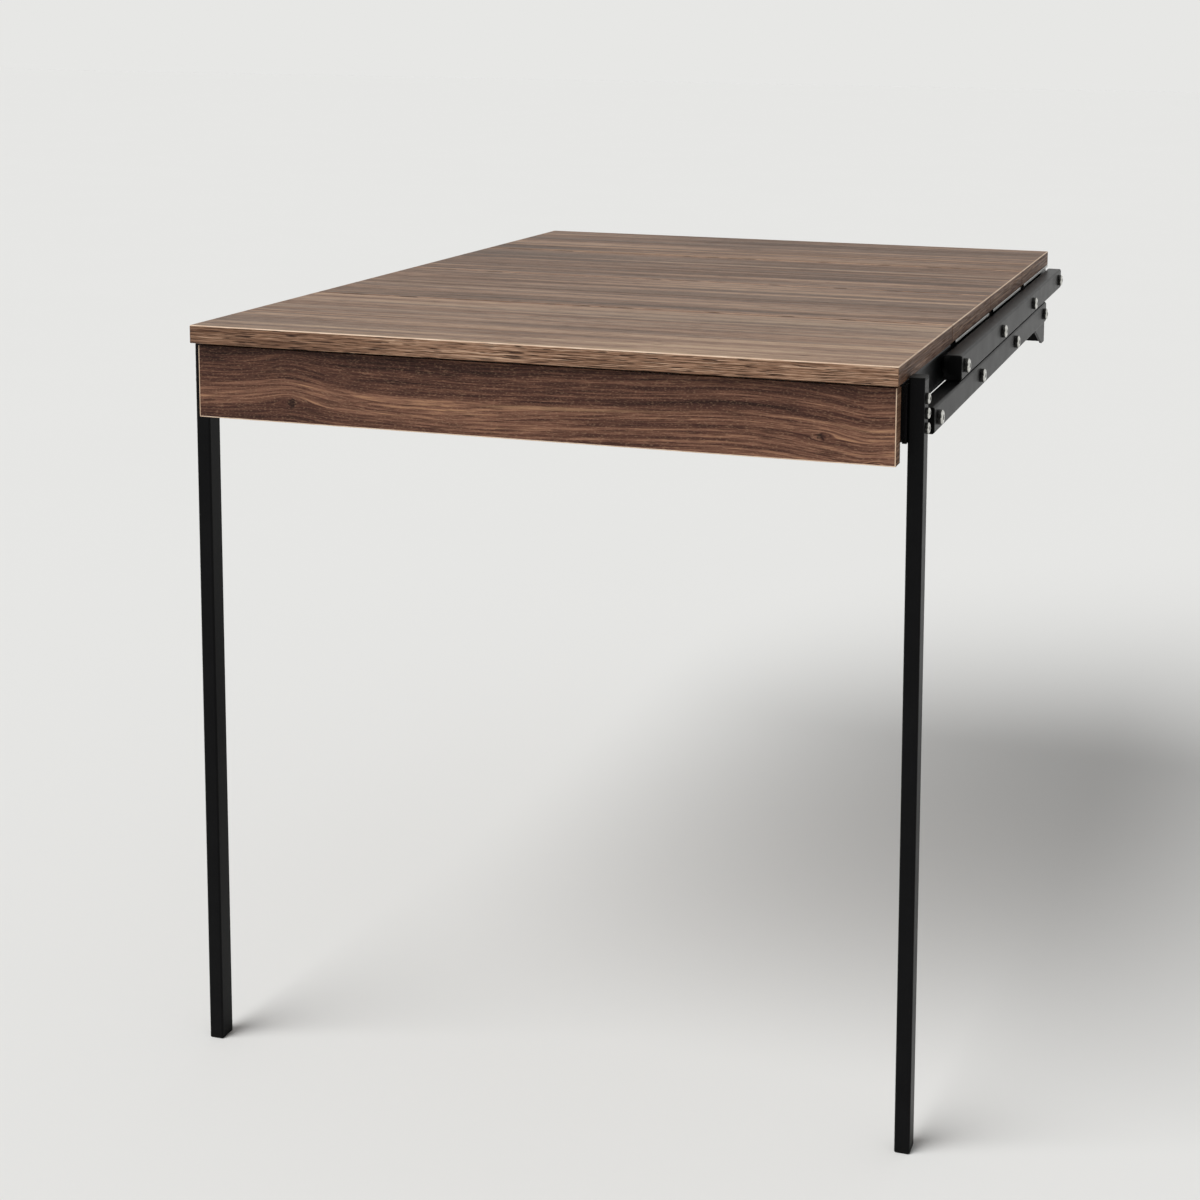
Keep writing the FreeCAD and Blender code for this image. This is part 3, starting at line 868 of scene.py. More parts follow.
def cut(piece: Piece, cutter: Piece, keep: bool = False) -> None:
    """Cut a piece and delete the cutter.

    Args:
        piece: What is cut.
        cutter: What it is cut by.
        keep: Whether the part that they share is what stays.
    """
    operation = "INTERSECT" if keep else "DIFFERENCE"
    modify(piece, "BOOLEAN", object=cutter, operation=operation, solver="EXACT")
    drop(cutter)


def dress(piece: Piece, *finishes: Finish, angle: float = 35.0) -> None:
    """Shade a piece smooth, but for large faces and sharp edges, and give it its finishes.

    Args:
        piece: The piece.
        finishes: The finishes, by the numbers that its faces have.
        angle: Edges sharper than this many degrees stay sharp.
    """
    take(piece)
    bpy.ops.object.shade_smooth_by_angle(angle=math.radians(angle))
    modify(piece, "WEIGHTED_NORMAL", keep_sharp=True, weight=80)
    piece.data.materials.clear()
    for finish in finishes:
        piece.data.materials.append(finish.material)


def mark(piece: Piece, wanted: Callable[[Vector, Vector], bool]) -> None:
    """Give the faces that are wanted by their centre and normal the second material."""
    for face in piece.data.polygons:
        face.material_index = int(wanted(face.center, face.normal))


def twin(master: Piece, name: str, *moves: Matrix) -> Piece:
    """Copy a piece with its mesh.

    Args:
        master: What is copied.
        name: The copy's name.
        moves: What its mesh is moved by, the last one first.

    Returns:
        The copy.
    """
    copy = master.copy()
    copy.data = master.data.copy()
    for move in reversed(moves):
        copy.data.transform(move)
    copy.name = name
    copy.data.name = name
    bpy.context.scene.collection.objects.link(copy)
    return copy


def join(name: str, parts: Sequence[Piece]) -> Piece:
    """Join pieces into one.

    Args:
        name: Its name.
        parts: The pieces, which are used up.

    Returns:
        The one piece.
    """
    take(*parts)
    bpy.ops.object.join()
    return christen(name)


def copy_node(node: str, name: str) -> Piece:
    """Copy a CAD node as a clean mesh.

    Args:
        node: The node.
        name: The copy's name.

    Returns:
        The copy, its doubles merged and its flat faces whole.
    """
    piece = twin(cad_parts[node], name)
    for key in list(piece.keys()):
        del piece[key]
    piece.parent = None
    piece.hide_render = False
    piece.hide_viewport = False
    piece.hide_set(False)
    with editing(piece):
        bpy.ops.mesh.select_all(action="SELECT")
        bpy.ops.mesh.remove_doubles(threshold=TINY / 2)
        bpy.ops.mesh.dissolve_limited(angle_limit=math.radians(0.5))
    return piece


def solids_of(node: str) -> list[Box]:
    """Find a CAD node's separate solids.

    Args:
        node: The node.

    Returns:
        Their boxes.
    """
    with editing(copy_node(node, f"{node}_solids")):
        bpy.ops.mesh.select_all(action="SELECT")
        bpy.ops.mesh.separate(type="LOOSE")
    loose = list(bpy.context.selected_objects)
    boxes = [Box.of_piece(part) for part in loose]
    drop(*loose)
    return boxes


def turned(angle: float, axis: str = "Z") -> Matrix:
    """Turn about an axis through the origin."""
    return Matrix.Rotation(angle, 4, axis)


def outer_of(leaf: Leaf) -> float:
    """X of a leaf's right end, which is also the outer edge of the strip under it."""
    return Box.of_node(f"{leaf.label}_leaf_edging").high.x


def lay_board(name: str, node: str, body: str, decor: WalnutLaminate) -> None:
    """Model a laminated board with a fine arris where its band meets it.

    Args:
        name: The board's name.
        node: Its CAD node.
        body: The body it rides on.
        decor: Its finish.
    """
    board = add_block(name, Box.of_node(node))
    soften(board, 0.1 * MM)
    dress(board, decor)
    seat(board, body, "walnut_board", node)


def seat(piece: Piece, body: str, slot: str, *nodes: str) -> None:
    """Hand a finished piece over.

    Args:
        piece: The piece.
        body: The body it rides on.
        slot: Name of a finish slot; not used.
        nodes: The CAD nodes it replaces.
    """
    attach(piece, body)
    if nodes:
        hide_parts(*nodes)
    LOG.info("%s rides on %s, %d faces", piece.name, body, len(piece.data.polygons))


# Fasteners


@dataclass(frozen=True)
class ButtonBolt:
    """Button head bolt with a hexagon socket, on the X axis, the underside of its head at x = 0.

    Attributes:
        socket: Its socket, across flats.
        threaded: Length of the thread that is modelled, at the tip.
        dome: Part of the head's height that is rounded.
        groove: Depth of the thread, across the bolt, over its pitch.
        deep: Height of the socket's floor over that of the head.
    """

    name: str
    shank: float
    length: float
    head: float
    high: float
    socket: float
    pitch: float
    threaded: float
    dome: float = 0.6
    groove: float = 0.9
    deep: float = 0.42

    def build(self) -> Piece:
        """Model the bolt.

        Returns:
            The bolt.
        """
        bolt = add_rod(self.name, self.head / 2, 0.0, self.high)
        rim = self.high - TINY
        turns = round(self.threaded / self.pitch)
        waist = 1.0 - self.groove * self.pitch / self.shank
        with editing(bolt):
            pick_edges(bolt, lambda start, end: min(start.x, end.x) > rim)
            bevel(self.high * self.dome, segments=7, profile=0.52)
            pick_faces(bolt, lambda centre, normal: normal.x < -SQUARE_ON)
            bpy.ops.mesh.inset(thickness=(self.head - self.shank) / 2)
            extrude(Vector((turns * self.pitch - self.length, 0, 0)))
            for scale in (waist, 1 / waist) * turns:
                extrude(Vector((-self.pitch / 2, 0, 0)))
                bpy.ops.transform.resize(value=(1, scale, scale), center_override=(0, 0, 0))
            bevel(self.pitch * 0.4)
        floor = self.high * self.deep
        cut(bolt, add_rod("socket_cutter", self.socket / 2 / FLATS, floor, self.high * 2, sides=6))
        soften(bolt, 0.12 * MM, angle=40)
        dress(bolt, BRIGHT, PAINTED_SHADE_FLANK)
        # The head's flank takes the second, dark finish: painted shade round the head.
        flank = self.head / 2 - 0.2 * MM
        mark(bolt, lambda centre, normal: centre.yz.length > flank and abs(normal.x) < 0.3)
        return bolt


@dataclass(frozen=True)
class LockNut:
    """Lock nut with a nylon ring, on the X axis, its seat at x = 0 and the ring's end towards -X.

    Attributes:
        hexagon: Part of its height that is hexagonal.
        blank: Radius of the chamfered blank over the size across flats, as for the collar and the ring.
        sunk: Where the ring starts, over the nut's height.
    """

    name: str
    flats: float
    high: float
    bore: float
    hexagon: float = 0.7
    blank: float = 0.565
    collar: float = 0.45
    ring: float = 0.36
    sunk: float = 0.8

    def build(self) -> Piece:
        """Model the nut.

        Returns:
            The nut.
        """
        waist = -self.high * self.hexagon
        nut = add_rod(self.name, self.flats / 2 / FLATS, waist, 0.0, sides=6)
        blank = add_rod("nut_blank", self.flats * self.blank, waist, 0.0)
        soften(blank, self.flats * 0.05)
        cut(nut, blank, keep=True)
        collar = add_rod("nut_collar", self.flats * self.collar, -self.high, waist + TINY * 10)
        soften(collar, self.flats * 0.04, segments=3)
        ring = add_rod("nylon_ring", self.flats * self.ring, -self.high - 0.05 * MM, -self.high * self.sunk)
        for part, bore, finish in (
            (nut, self.bore / 2, ZINC),
            (collar, self.bore / 2, ZINC),
            (ring, self.bore / 2 - 0.1 * MM, NYLON),
        ):
            cut(part, add_rod("bore_cutter", bore, -self.high * 2, self.high))
            if part is ring:
                soften(ring, 0.15 * MM)
            dress(part, finish)
        return join(self.name, [nut, collar, ring])


@dataclass(frozen=True)
class PanScrew:
    """Head of a pan head wood screw with a cross recess, its seat at the origin and its top towards -Z.

    Attributes:
        dome: Part of the height that is rounded.
        deep: Height of the recess's floor over that of the head.
        long: Length of the recess's arms, from end to end.
        narrow: Width of the recess's arms.
    """

    head: float = 8.0 * MM
    high: float = 2.4 * MM
    dome: float = 0.62
    deep: float = 0.35
    long: float = 4.6 * MM
    narrow: float = 1.1 * MM

    def build(self) -> Piece:
        """Model the head.

        Returns:
            The head.
        """
        screw = add_rod("pan_screw", self.head / 2, 0.0, self.high, sides=32)
        rim = self.high - TINY
        with editing(screw):
            pick_edges(screw, lambda start, end: min(start.x, end.x) > rim)
            bevel(self.high * self.dome, segments=4, profile=0.6)
        for wide, tall in ((self.narrow / 2, self.long / 2), (self.long / 2, self.narrow / 2)):
            low = Vector((self.high * self.deep, -wide, -tall))
            cut(screw, add_block("recess_cutter", Box(low, Vector((self.high * 2, wide, tall)))))
        dress(screw, ZINC)
        screw.data.transform(turned(QUARTER, "Y"))
        return screw


@dataclass(frozen=True)
class TubePlug:
    """Plug of an upright tube: cap from z = 0 up, insert below.

    Attributes:
        corner: Radius of the tube's corners.
        dome: Rounding of the cap's outer rim.
        wall: Thickness of the tube's wall, with the insert's play.
    """

    name: str
    width: float
    depth: float
    cap: float
    corner: float
    dome: float = 0.7 * MM
    wall: float = 1.85 * MM
    insert: float = 12.0 * MM

    def build(self) -> Piece:
        """Model the plug.

        Returns:
            The plug.
        """
        half = Vector((self.width / 2, self.depth / 2, 0))
        plug = add_block(self.name, Box(-half, half + Vector((0, 0, self.cap))))
        top = self.cap - TINY
        with editing(plug):
            pick_edges(plug, lambda start, end: abs(start.z - end.z) > TINY)
            bevel(self.corner, segments=6)
            pick_edges(plug, lambda start, end: min(start.z, end.z) > top)
            bevel(self.dome, segments=3)
            pick_faces(plug, lambda centre, normal: normal.z < -SQUARE_ON)
            bpy.ops.mesh.inset(thickness=self.wall)
            extrude(Vector((0, 0, -self.insert)))
            bevel(0.6 * MM)
        dress(plug, CAP, angle=50)
        return plug


@dataclass(frozen=True)
class StitchWeld:
    """Short fillet weld: a bead of overlapping ripples, some pitch apart."""

    throat: float = 1.7 * MM
    pitch: float = 1.5 * MM

    def build(self, start: Vector, run: Vector) -> Piece:
        """Model a weld.

        Args:
            start: Where the bead starts, in the corner.
            run: From there to its end, along Y or Z.

        Returns:
            The weld.
        """
        bpy.ops.mesh.primitive_uv_sphere_add(segments=10, ring_count=6, radius=self.throat, location=start)
        bead = settle("stitch_weld")
        with editing(bead):
            bpy.ops.mesh.select_all(action="SELECT")
            bpy.ops.transform.resize(value=(1, 1, 1.04), center_override=start)
            bpy.ops.transform.translate(value=run.normalized() * self.throat * 0.3)
        count = max(2, round(run.length / self.pitch))
        step = run.normalized() * self.pitch
        fixed = {"use_relative_offset": False, "use_constant_offset": True}
        modify(bead, "ARRAY", count=count, constant_offset_displace=step, **fixed)
        dress(bead, POWDER, angle=60)
        return bead


# Sub-assemblies


@dataclass
class LeafTop:
    """Board of one leaf with its edge band.

    Attributes:
        sheet: Where on the decor sheet the board is cut from.
        lift: How much lighter its decor is, as painted light and shade: lighter on the front leaf, darker on
            the leaves towards the wall.
        dusky: How much darker the left end of its band is.
        band: Thickness of the edge band.
        scraped: Faces of the band that lie flatter than this show its beige core.
    """

    leaf: Leaf
    sheet: Triple
    lift: float
    dusky: float = 0.0
    band: float = 1.0 * MM
    arris: float = 0.95 * MM
    scraped: float = 0.15

    def build(self) -> None:
        """Model the board and its band."""
        name = self.leaf.label
        decor = WalnutLaminate(f"walnut_{name}", self.sheet, self.lift)
        lay_board(f"{name}_laminate", f"{name}_leaf_board", self.leaf.body, decor)
        self.build_band()

    def build_band(self) -> None:
        """Band round the board: printed outside, beige where its thickness shows."""
        name = self.leaf.label
        box = Box.of_node(f"{name}_leaf_edging")
        band = add_block(f"{name}_band", box)

        def is_outside(spot: Vector) -> bool:
            """Whether a place is on the band's outer faces."""
            return any(abs(spot[axis] - box.centre[axis]) > box.size[axis] / 2 - TINY for axis in (0, 1))

        def is_rim(start: Vector, end: Vector, outer: bool) -> bool:
            """Whether an edge is on a rim of the band's top or bottom."""
            return abs(start.z - end.z) < TINY and is_outside(start) == is_outside(end) == outer

        def is_open(start: Vector, end: Vector, within: float = TINY) -> bool:
            """Whether an edge is at an end of the board or at the table's front."""
            front = self.leaf is Leaf.FRONT and max(start.y, end.y) < box.low.y + within
            return front or min(abs(start.x), abs(end.x)) > box.high.x - within

        with editing(band):
            pick_faces(band, lambda centre, normal: abs(normal.z) > SQUARE_ON)
            bpy.ops.mesh.inset(thickness=self.band)
            bpy.ops.mesh.delete(type="FACE")
            pick_edges(band, lambda start, end: is_rim(start, end, outer=False))
            bpy.ops.mesh.bridge_edge_loops()
            pick_edges(band, lambda start, end: is_rim(start, end, outer=True) and is_open(start, end))
            bevel(self.arris, segments=4)
        soften(band, 0.25 * MM)
        dress(band, PrintedBand(f"printed_{name}_band", box.high.x, self.dusky), CORE)
        mark(band, lambda spot, normal: is_open(spot, spot, self.band) and normal.z > self.scraped)
        seat(band, self.leaf.body, "edge_band", f"{name}_leaf_edging")


@dataclass
class Apron:
    """Apron board under the front leaf with its band.

    Attributes:
        swells: X, height and half width of the arches in its grain.
        scraped: Faces of the band that are turned further than this to the front or rear show its core.
    """

    knots: tuple[Knot, ...] = (
        Knot(-248 * MM, -2 * MM, 4.5 * MM),
        Knot(281 * MM, 2 * MM, 4.0 * MM),
        Knot(331 * MM, -22 * MM, 5.5 * MM, reach=2.0),
    )
    swells: tuple[Triple, ...] = (
        (205 * MM, 9 * MM, 90 * MM),
        (-250 * MM, 9 * MM, 40 * MM),
        (-60 * MM, -3 * MM, 90 * MM),
        (322 * MM, -5 * MM, 26 * MM),
    )
    arris: float = 0.4 * MM
    scraped: float = 0.2

    @property
    def decor(self) -> WalnutLaminate:
        """Its decor, redder and darker than the top's, with finer rings.

        Returns:
            The decor.
        """
        return WalnutLaminate(
            "walnut_apron",
            sheet=(23.4, 2.0, 0.31),
            lift=-0.05,
            knots=self.knots,
            swells=self.swells,
            shades=("2b1813", "472c24", "604133", "7b5746", "a57d5e"),
            rings=210.0,
            ringed=0.13,
            weights=(0.55, 0.8, 0.55, 0.55, 0.75),
            flecked=0.225,
            greyed=0.0,
            gloss=1.25,
        )

    def build(self) -> None:
        """Model the apron and its band."""
        lay_board("apron_laminate", "apron_board", "front_leaf", self.decor)
        band = copy_node("apron_edging", "apron_band")
        soften(band, self.arris)
        dress(band, PrintedBand("printed_apron_band", Box.of_node("apron_edging").high.x), CORE)
        mark(band, lambda centre, normal: abs(normal.y) > self.scraped)
        seat(band, "front_leaf", "edge_band", "apron_edging")


@dataclass
class SteelWork:
    """Powder coated steel: arms, legs, brackets, packing plates and cleats.

    Attributes:
        mill_edge: Rounding of the strips' upper outer edge.
        fettled: How far the level lower edge of a carrier's plate is let down.
        shoulder: That edge is further than this under the strip.
        upright: Faces of a strip's edge that are turned further than this to the side get the painted
            highlight.
    """

    arris: float = 0.3 * MM
    mill_edge: float = 1.1 * MM
    fettled: float = 3.0 * MM
    shoulder: float = 10.0 * MM
    upright: float = 0.6

    def coat(self, node: str, body: str, piece: Piece | None = None) -> None:
        """Give a steel node rounded edges and its coat.

        Args:
            node: The CAD node.
            body: The body it rides on.
            piece: The node's copy, where there is one already.
        """
        piece = piece or copy_node(node, f"{node}_coated")
        soften(piece, self.arris)
        dress(piece, POWDER)
        seat(piece, body, "black_steel", node)

    def coat_bracket(self, leaf: Leaf, side: Side) -> None:
        """Coat a bracket, whose strip has the rounded edge of rolled flat bar with a painted highlight along
        it.

        Args:
            leaf: The leaf that the bracket is under.
            side: Which end of it.
        """
        node = f"{leaf.bracket}_{side.label}"
        piece = copy_node(node, f"{node}_coated")
        outer = outer_of(leaf)
        top = Box.of_node(node).high.z - TINY / 2
        low = top - STRIP

        def is_lip(start: Vector, end: Vector) -> bool:
            """Whether an edge is the strip's upper outer one."""
            return min(abs(start.x), abs(end.x)) > outer - TINY and min(start.z, end.z) > top

        with editing(piece):
            pick_faces(piece, lambda spot, normal: normal.z < -SQUARE_ON and 0 < spot.z < low - self.shoulder)
            bpy.ops.transform.translate(value=(0, 0, -self.fettled))
            pick_edges(piece, is_lip)
            bevel(self.mill_edge, segments=3)
        self.coat(node, leaf.body, piece)
        # The strip's outer edge gets the light grey finish, a painted highlight; the front leaf's strips keep
        # the plain black coat.
        piece.data.materials.append((POWDER if leaf is Leaf.FRONT else EDGE).material)
        edge = outer - self.mill_edge
        mark(piece, lambda spot, normal: abs(spot.x) > edge and spot.z > low and abs(normal.x) > self.upright)

    def build(self) -> None:
        """Model all the steel."""
        for side in Side:
            for leaf in Leaf:
                self.coat_bracket(leaf, side)
            for level in Level:
                arm = f"{level.label}_arm_{side.label}"
                self.coat(arm, arm)
            self.coat(f"leg_{side.label}", "front_leaf")
        self.coat("leg_packing_plates", "front_leaf")
        self.coat("apron_cleats", "front_leaf")


@dataclass
class Welds:
    """Stitch welds of the brackets.

    Attributes:
        inset: Bead's middle inside its corner.
        ends: First and last stitch from the ends of the strip.
        flange: Thickness of the wall flanges.
        plate_inner: Plate's inner face from the strip's outer edge.
        flange_stitches: Heights at which the wall flanges' stitches start.
    """

    weld: StitchWeld = StitchWeld()
    stitch: float = 24.0 * MM
    inset: float = 0.6 * MM
    ends: float = 26.0 * MM
    flange: float = 4.0 * MM
    plate_inner: float = 5.5 * MM
    flange_stitches: tuple[float, ...] = (-40.0 * MM, 16.0 * MM)

    def build(self) -> None:
        """Model the welds of every bracket."""
        for leaf in Leaf:
            beads = [bead for side in Side for bead in self.build_side(leaf, side)]
            seat(join(f"{leaf.label}_welds", beads), leaf.body, "black_steel")

    def build_side(self, leaf: Leaf, side: Side) -> list[Piece]:
        """Weld the strip of one bracket to its plate, and a wall bracket's flange too.

        Args:
            leaf: The leaf that the bracket is under.
            side: Which end of it.

        Returns:
            The beads.
        """
        strip = Box.of_node(f"{leaf.bracket}_{side.label}")
        up = strip.high.z - STRIP - self.inset
        across = side.value * (outer_of(leaf) - self.plate_inner - self.inset)
        first = strip.low.y + self.ends
        last = strip.high.y - self.ends - self.stitch
        along = Vector((0, self.stitch, 0))
        spots = (first, (first + last) / 2, last)
        beads = [self.weld.build(Vector((across, spot, up)), along) for spot in spots]
        if leaf is Leaf.WALL:
            rear = -self.flange - self.inset
            for low in self.flange_stitches:
                beads.append(self.weld.build(Vector((across, rear, low)), Vector((0, 0, self.stitch))))
        return beads


@dataclass
class Fasteners:
    """Bolts and nuts of the whole table."""

    pivot_bolt: ButtonBolt = ButtonBolt(
        "pivot_bolt", 8 * MM, 35.3 * MM, 14 * MM, 4.4 * MM, 5 * MM, 1.25 * MM, 5 * MM
    )
    leg_bolt: ButtonBolt = ButtonBolt(
        "leg_bolt", 6 * MM, 30.0 * MM, 10.5 * MM, 3.3 * MM, 4 * MM, 1.0 * MM, 4 * MM
    )
    pivot_nut: LockNut = LockNut("pivot_nut", 13 * MM, 8 * MM, 8.1 * MM)
    leg_nut: LockNut = LockNut("leg_nut", 10 * MM, 6 * MM, 6.1 * MM)

    def build(self) -> None:
        """Set the bolts and nuts of every pivot and leg."""
        pivots = [(f"{leaf.label}_pivot", leaf.body) for leaf in Leaf]
        self.set_groups(self.pivot_bolt, self.pivot_nut, pivots)
        self.set_groups(self.leg_bolt, self.leg_nut, [("leg", "front_leaf")])

    def set_groups(self, bolt: ButtonBolt, nut: LockNut, groups: Sequence[tuple[str, str]]) -> None:
        """Set a bolt or nut where each solid of their nodes is.

        Args:
            bolt: The bolt.
            nut: The nut.
            groups: Stems of the nodes' names, and the bodies they ride on.
        """
        masters = (bolt.build(), nut.build())
        for stem, body in groups:
            kinds = (("bolts", bolt.high, "bright_bolts"), ("nuts", 0.0, "zinc_fittings"))
            for master, (kind, depth, slot) in zip(masters, kinds):
                node = f"{stem}_{kind}"
                copies = [twin(master, node, *self.facing(box, depth)) for box in solids_of(node)]
                seat(join(f"{node}_set", copies), body, slot, node)
        drop(*masters)

    @staticmethod
    def facing(box: Box, depth: float) -> tuple[Matrix, Matrix]:
        """Place for a fastener that was modelled with its head towards +X.

        Args:
            box: Box of its CAD solid.
            depth: How far inside the solid's outer end the model's x = 0 is.

        Returns:
            The move to its place, and the half turn before it on the left.
        """
        right = box.centre.x > 0
        across = box.high.x - depth if right else box.low.x + depth
        return Matrix.Translation((across, box.centre.y, box.centre.z)), turned(0.0 if right else math.pi)


@dataclass
class WoodScrews:
    """Wood screws up through the strips, and through the cleats into the front leaf and the apron.

    Attributes:
        line: Row of screws from the strip's outer edge.
        ends: First and last screw from the strip's ends.
        cleat: Thickness of the cleats.
        cleat_gap: Half the distance between a cleat's two screws.
        cleat_line: Screws from the cleat's rear or lower edge.
        next_turn: How much further each recess is turned than the one before.
    """

    screw: PanScrew = PanScrew()
    line: float = 16.0 * MM
    ends: float = 24.0 * MM
    cleat: float = 2.5 * MM
    cleat_gap: float = 10.0 * MM
    cleat_line: float = 11.0 * MM
    first_turn: float = 0.4
    next_turn: float = 1.3

    def build(self) -> None:
        """Set the screws of every strip and cleat."""
        master = self.screw.build()
        for leaf in Leaf:
            spots = [spot for side in Side for spot in self.find_strip(leaf, side)]
            self.set_row(master, f"{leaf.label}_strip_screws", leaf.body, spots)
        spots = [spot for box in solids_of("apron_cleats") for spot in self.find_cleat(box)]
        self.set_row(master, "cleat_screws", Leaf.FRONT.body, spots)
        drop(master)

    def set_row(self, master: Piece, name: str, body: str, spots: Sequence[Spot]) -> None:
        """Set screws as one piece.

        Args:
            master: The screw.
            name: The piece's name.
            body: The body it rides on.
            spots: Place, tilt about X and number of turns of each.
        """
        heads = []
        for spot, tilt, step in spots:
            turn = self.first_turn + self.next_turn * step
            heads.append(twin(master, name, Matrix.Translation(spot), turned(tilt, "X"), turned(turn)))
        seat(join(name, heads), body, "zinc_fittings")

    def find_strip(self, leaf: Leaf, side: Side) -> list[Spot]:
        """Find the three screws under a strip.

        Args:
            leaf: The leaf that the strip is under.
            side: Which end of it.

        Returns:
            Place, tilt and number of turns of each.
        """
        box = Box.of_node(f"{leaf.bracket}_{side.label}")
        across = side.value * (outer_of(leaf) - self.line)
        rear, ahead = box.high.y - self.ends, box.low.y + self.ends
        rows = enumerate((rear, (rear + ahead) / 2, ahead), leaf.value)
        return [(Vector((across, along, box.high.z - STRIP)), 0.0, step) for step, along in rows]

    def find_cleat(self, box: Box) -> list[Spot]:
        """Find the four screws of a cleat.

        Args:
            box: Box of the cleat.

        Returns:
            Place, tilt and number of turns of each.
        """
        spots = []
        for sign in (-1, 1):
            across = box.centre.x + sign * self.cleat_gap
            up = Vector((across, box.high.y - self.cleat_line, box.high.z - self.cleat))
            ahead = Vector((across, box.low.y + self.cleat, box.low.z + self.cleat_line))
            spots += [(up, 0.0, sign), (ahead, QUARTER, sign)]
        return spots


@dataclass
class Plugs:
    """End plugs of the arms, top plugs of the legs and feet."""

    arm_plug: TubePlug = TubePlug("arm_plug", 18 * MM, 25 * MM, 2 * MM, 2.5 * MM)
    leg_plug: TubePlug = TubePlug("leg_plug", 15 * MM, 20 * MM, 3 * MM, 2 * MM)
    foot: TubePlug = TubePlug("foot", 15 * MM, 20 * MM, 6 * MM, 2 * MM, dome=1.2 * MM)

    def build(self) -> None:
        """Plug both ends of every tube."""
        for side in Side:
            for level in Level:
                arm = f"{level.label}_arm_{side.label}"
                box = Box.of_node(arm)
                ends = ((box.high.y, -QUARTER), (box.low.y, QUARTER))
                spots = [(box.centre.x, reach, box.centre.z, tilt) for reach, tilt in ends]
                self.set_pair(self.arm_plug, f"{arm}_caps", arm, f"{arm}_plugs", spots)
        boxes = [Box.of_node(f"leg_{side.label}") for side in Side]
        tops = [(*box.centre.xy, box.high.z, 0.0) for box in boxes]
        feet = [(*box.centre.xy, box.low.z, math.pi) for box in boxes]
        self.set_pair(self.leg_plug, "leg_caps", "front_leaf", "leg_top_plugs", tops)
        self.set_pair(self.foot, "feet", "front_leaf", "leg_feet", feet)

    def set_pair(self, model: TubePlug, name: str, body: str, node: str, spots: Sequence[tuple]) -> None:
        """Set two plugs as one piece.

        Args:
            model: The plug.
            name: The piece's name.
            body: The body it rides on.
            node: The CAD node it replaces.
            spots: X, Y, Z and tilt about X of each.
        """
        master = model.build()
        moves = [(Matrix.Translation(spot), turned(tilt, "X")) for *spot, tilt in spots]
        seat(join(name, [twin(master, name, *move) for move in moves]), body, "black_plastic", node)
        drop(master)


# Studio


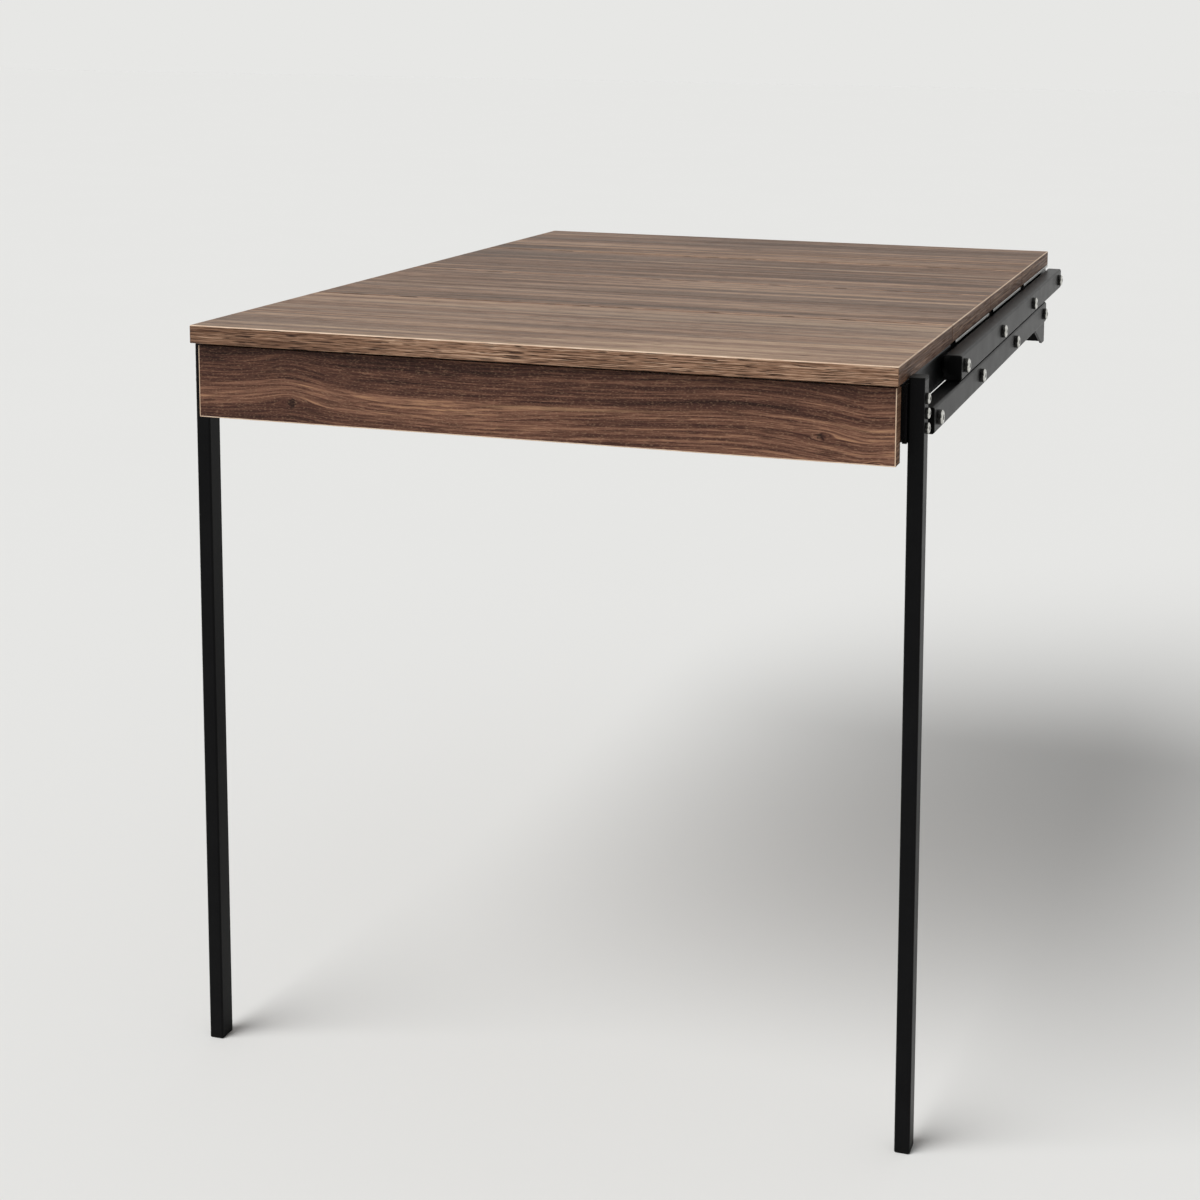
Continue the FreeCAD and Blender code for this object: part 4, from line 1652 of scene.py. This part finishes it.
@dataclass(frozen=True)
class Studio:
    """Floor, world and lamp.

    Attributes:
        floor_level: Height of the floor under the wall holes.
        dim: Colour of the room behind the camera, as gloss shows it.
        ambient: Strength of the world's light on the object.
        sun: Strength of the soft lamp, whose width is in degrees.
    """

    floor_level: float = -0.679
    floor_size: float = 60.0
    backdrop: str = "e7e7e5"
    dim: str = "262626"
    ambient: float = 0.36
    sun: float = 2.7
    sun_from: Triple = (-0.45, -0.55, 0.75)
    sun_width: float = 45.0

    def build(self) -> None:
        """Set up the studio."""
        self.build_floor()
        self.build_world()
        self.build_sun()
        ViewCamera().build()
        bpy.context.scene.view_settings.view_transform = "Standard"

    def build_floor(self) -> None:
        """Pale floor."""
        bpy.ops.mesh.primitive_plane_add(size=self.floor_size, location=(0.0, 0.0, self.floor_level))
        floor = settle("studio_floor")
        dress(floor, PaleFloor("pale_floor"))

    def build_world(self) -> None:
        """Pale world: plain light for the object, and the surroundings' colour for the camera and gloss."""
        world = bpy.data.worlds.new("studio_world")
        shader = Shader(world)
        ahead = shader.node("ShaderNodeTexCoord", {}, {}, output="Generated").part("Y").rise(-0.8, 0.0)
        gloss = shader.blend(ahead, paint(self.dim), paint(self.backdrop))
        rays = ("Is Camera Ray", "Is Transmission Ray", "Is Glossy Ray")
        seen, through, mirrored = (shader.node("ShaderNodeLightPath", {}, {}, output=ray) for ray in rays)
        shown = shader.blend(seen + through, gloss, paint(self.backdrop))
        lit = shader.node("ShaderNodeBackground", {}, {"Strength": self.ambient, "Color": WHITE})
        plain = shader.node("ShaderNodeBackground", {}, {"Color": shown})
        mix = shader.node("ShaderNodeMixShader", {}, {0: seen + through + mirrored, 1: lit, 2: plain})
        shader.close("ShaderNodeOutputWorld", mix)
        bpy.context.scene.world = world

    def build_sun(self) -> None:
        """Soft lamp from the upper left, in front of the table."""
        lamp = bpy.data.lights.new("soft_key", "SUN")
        lamp.energy = self.sun
        lamp.angle = math.radians(self.sun_width)
        holder = bpy.data.objects.new("soft_key", lamp)
        holder.rotation_euler = (-Vector(self.sun_from)).to_track_quat("-Z", "Y").to_euler()
        bpy.context.scene.collection.objects.link(holder)


@dataclass(frozen=True)
class ViewCamera:
    """Camera at the table's front right, a little above the top.

    Attributes:
        yaw: Degrees that it looks to the left; by its pitch it looks down, and by its roll it leans.
        axis_px: Where its optical axis meets the frame.
    """

    place: Triple = (0.7064, -2.6064, 0.3692)
    yaw: float = 15.76
    pitch: float = 6.52
    roll: float = 0.64
    focal_px: float = 1970.5
    axis_px: tuple[float, float] = (772.4, 247.7)
    frame_px: float = 1200.0
    sensor_mm: float = 36.0

    def build(self) -> None:
        """Set up the camera."""
        data = bpy.data.cameras.new("camera")
        data.sensor_width = self.sensor_mm
        data.lens = self.focal_px * self.sensor_mm / self.frame_px
        data.shift_x = 0.5 - self.axis_px[0] / self.frame_px
        data.shift_y = self.axis_px[1] / self.frame_px - 0.5
        yaw, pitch, roll = (math.radians(angle) for angle in (self.yaw, self.pitch, self.roll))
        camera = bpy.data.objects.new("camera", data)
        aim = turned(yaw) @ turned(QUARTER - pitch, "X") @ turned(roll)
        camera.matrix_world = Matrix.Translation(self.place) @ aim
        bpy.context.scene.collection.objects.link(camera)
        bpy.context.scene.camera = camera


def main() -> None:
    """Build the studio and every sub-assembly in order."""
    logging.basicConfig(level=logging.INFO, format="%(message)s")
    Studio().build()
    # The leaves' lifts are painted light and shade: the front leaf lighter, the leaves behind it darker
    # towards the wall.
    LeafTop(Leaf.WALL, (3.1, 0.4, 0.0), lift=-0.09).build()
    LeafTop(Leaf.INNER, (7.7, 1.9, 0.0), lift=-0.08).build()
    LeafTop(Leaf.MIDDLE, (12.3, 5.2, 0.0), lift=-0.06).build()
    LeafTop(Leaf.FRONT, (17.9, 8.6, 0.0), lift=0.14, dusky=0.12).build()
    for assembly in (Apron(), SteelWork(), Welds(), Fasteners(), WoodScrews(), Plugs()):
        assembly.build()


if __name__ == "__main__":
    main()
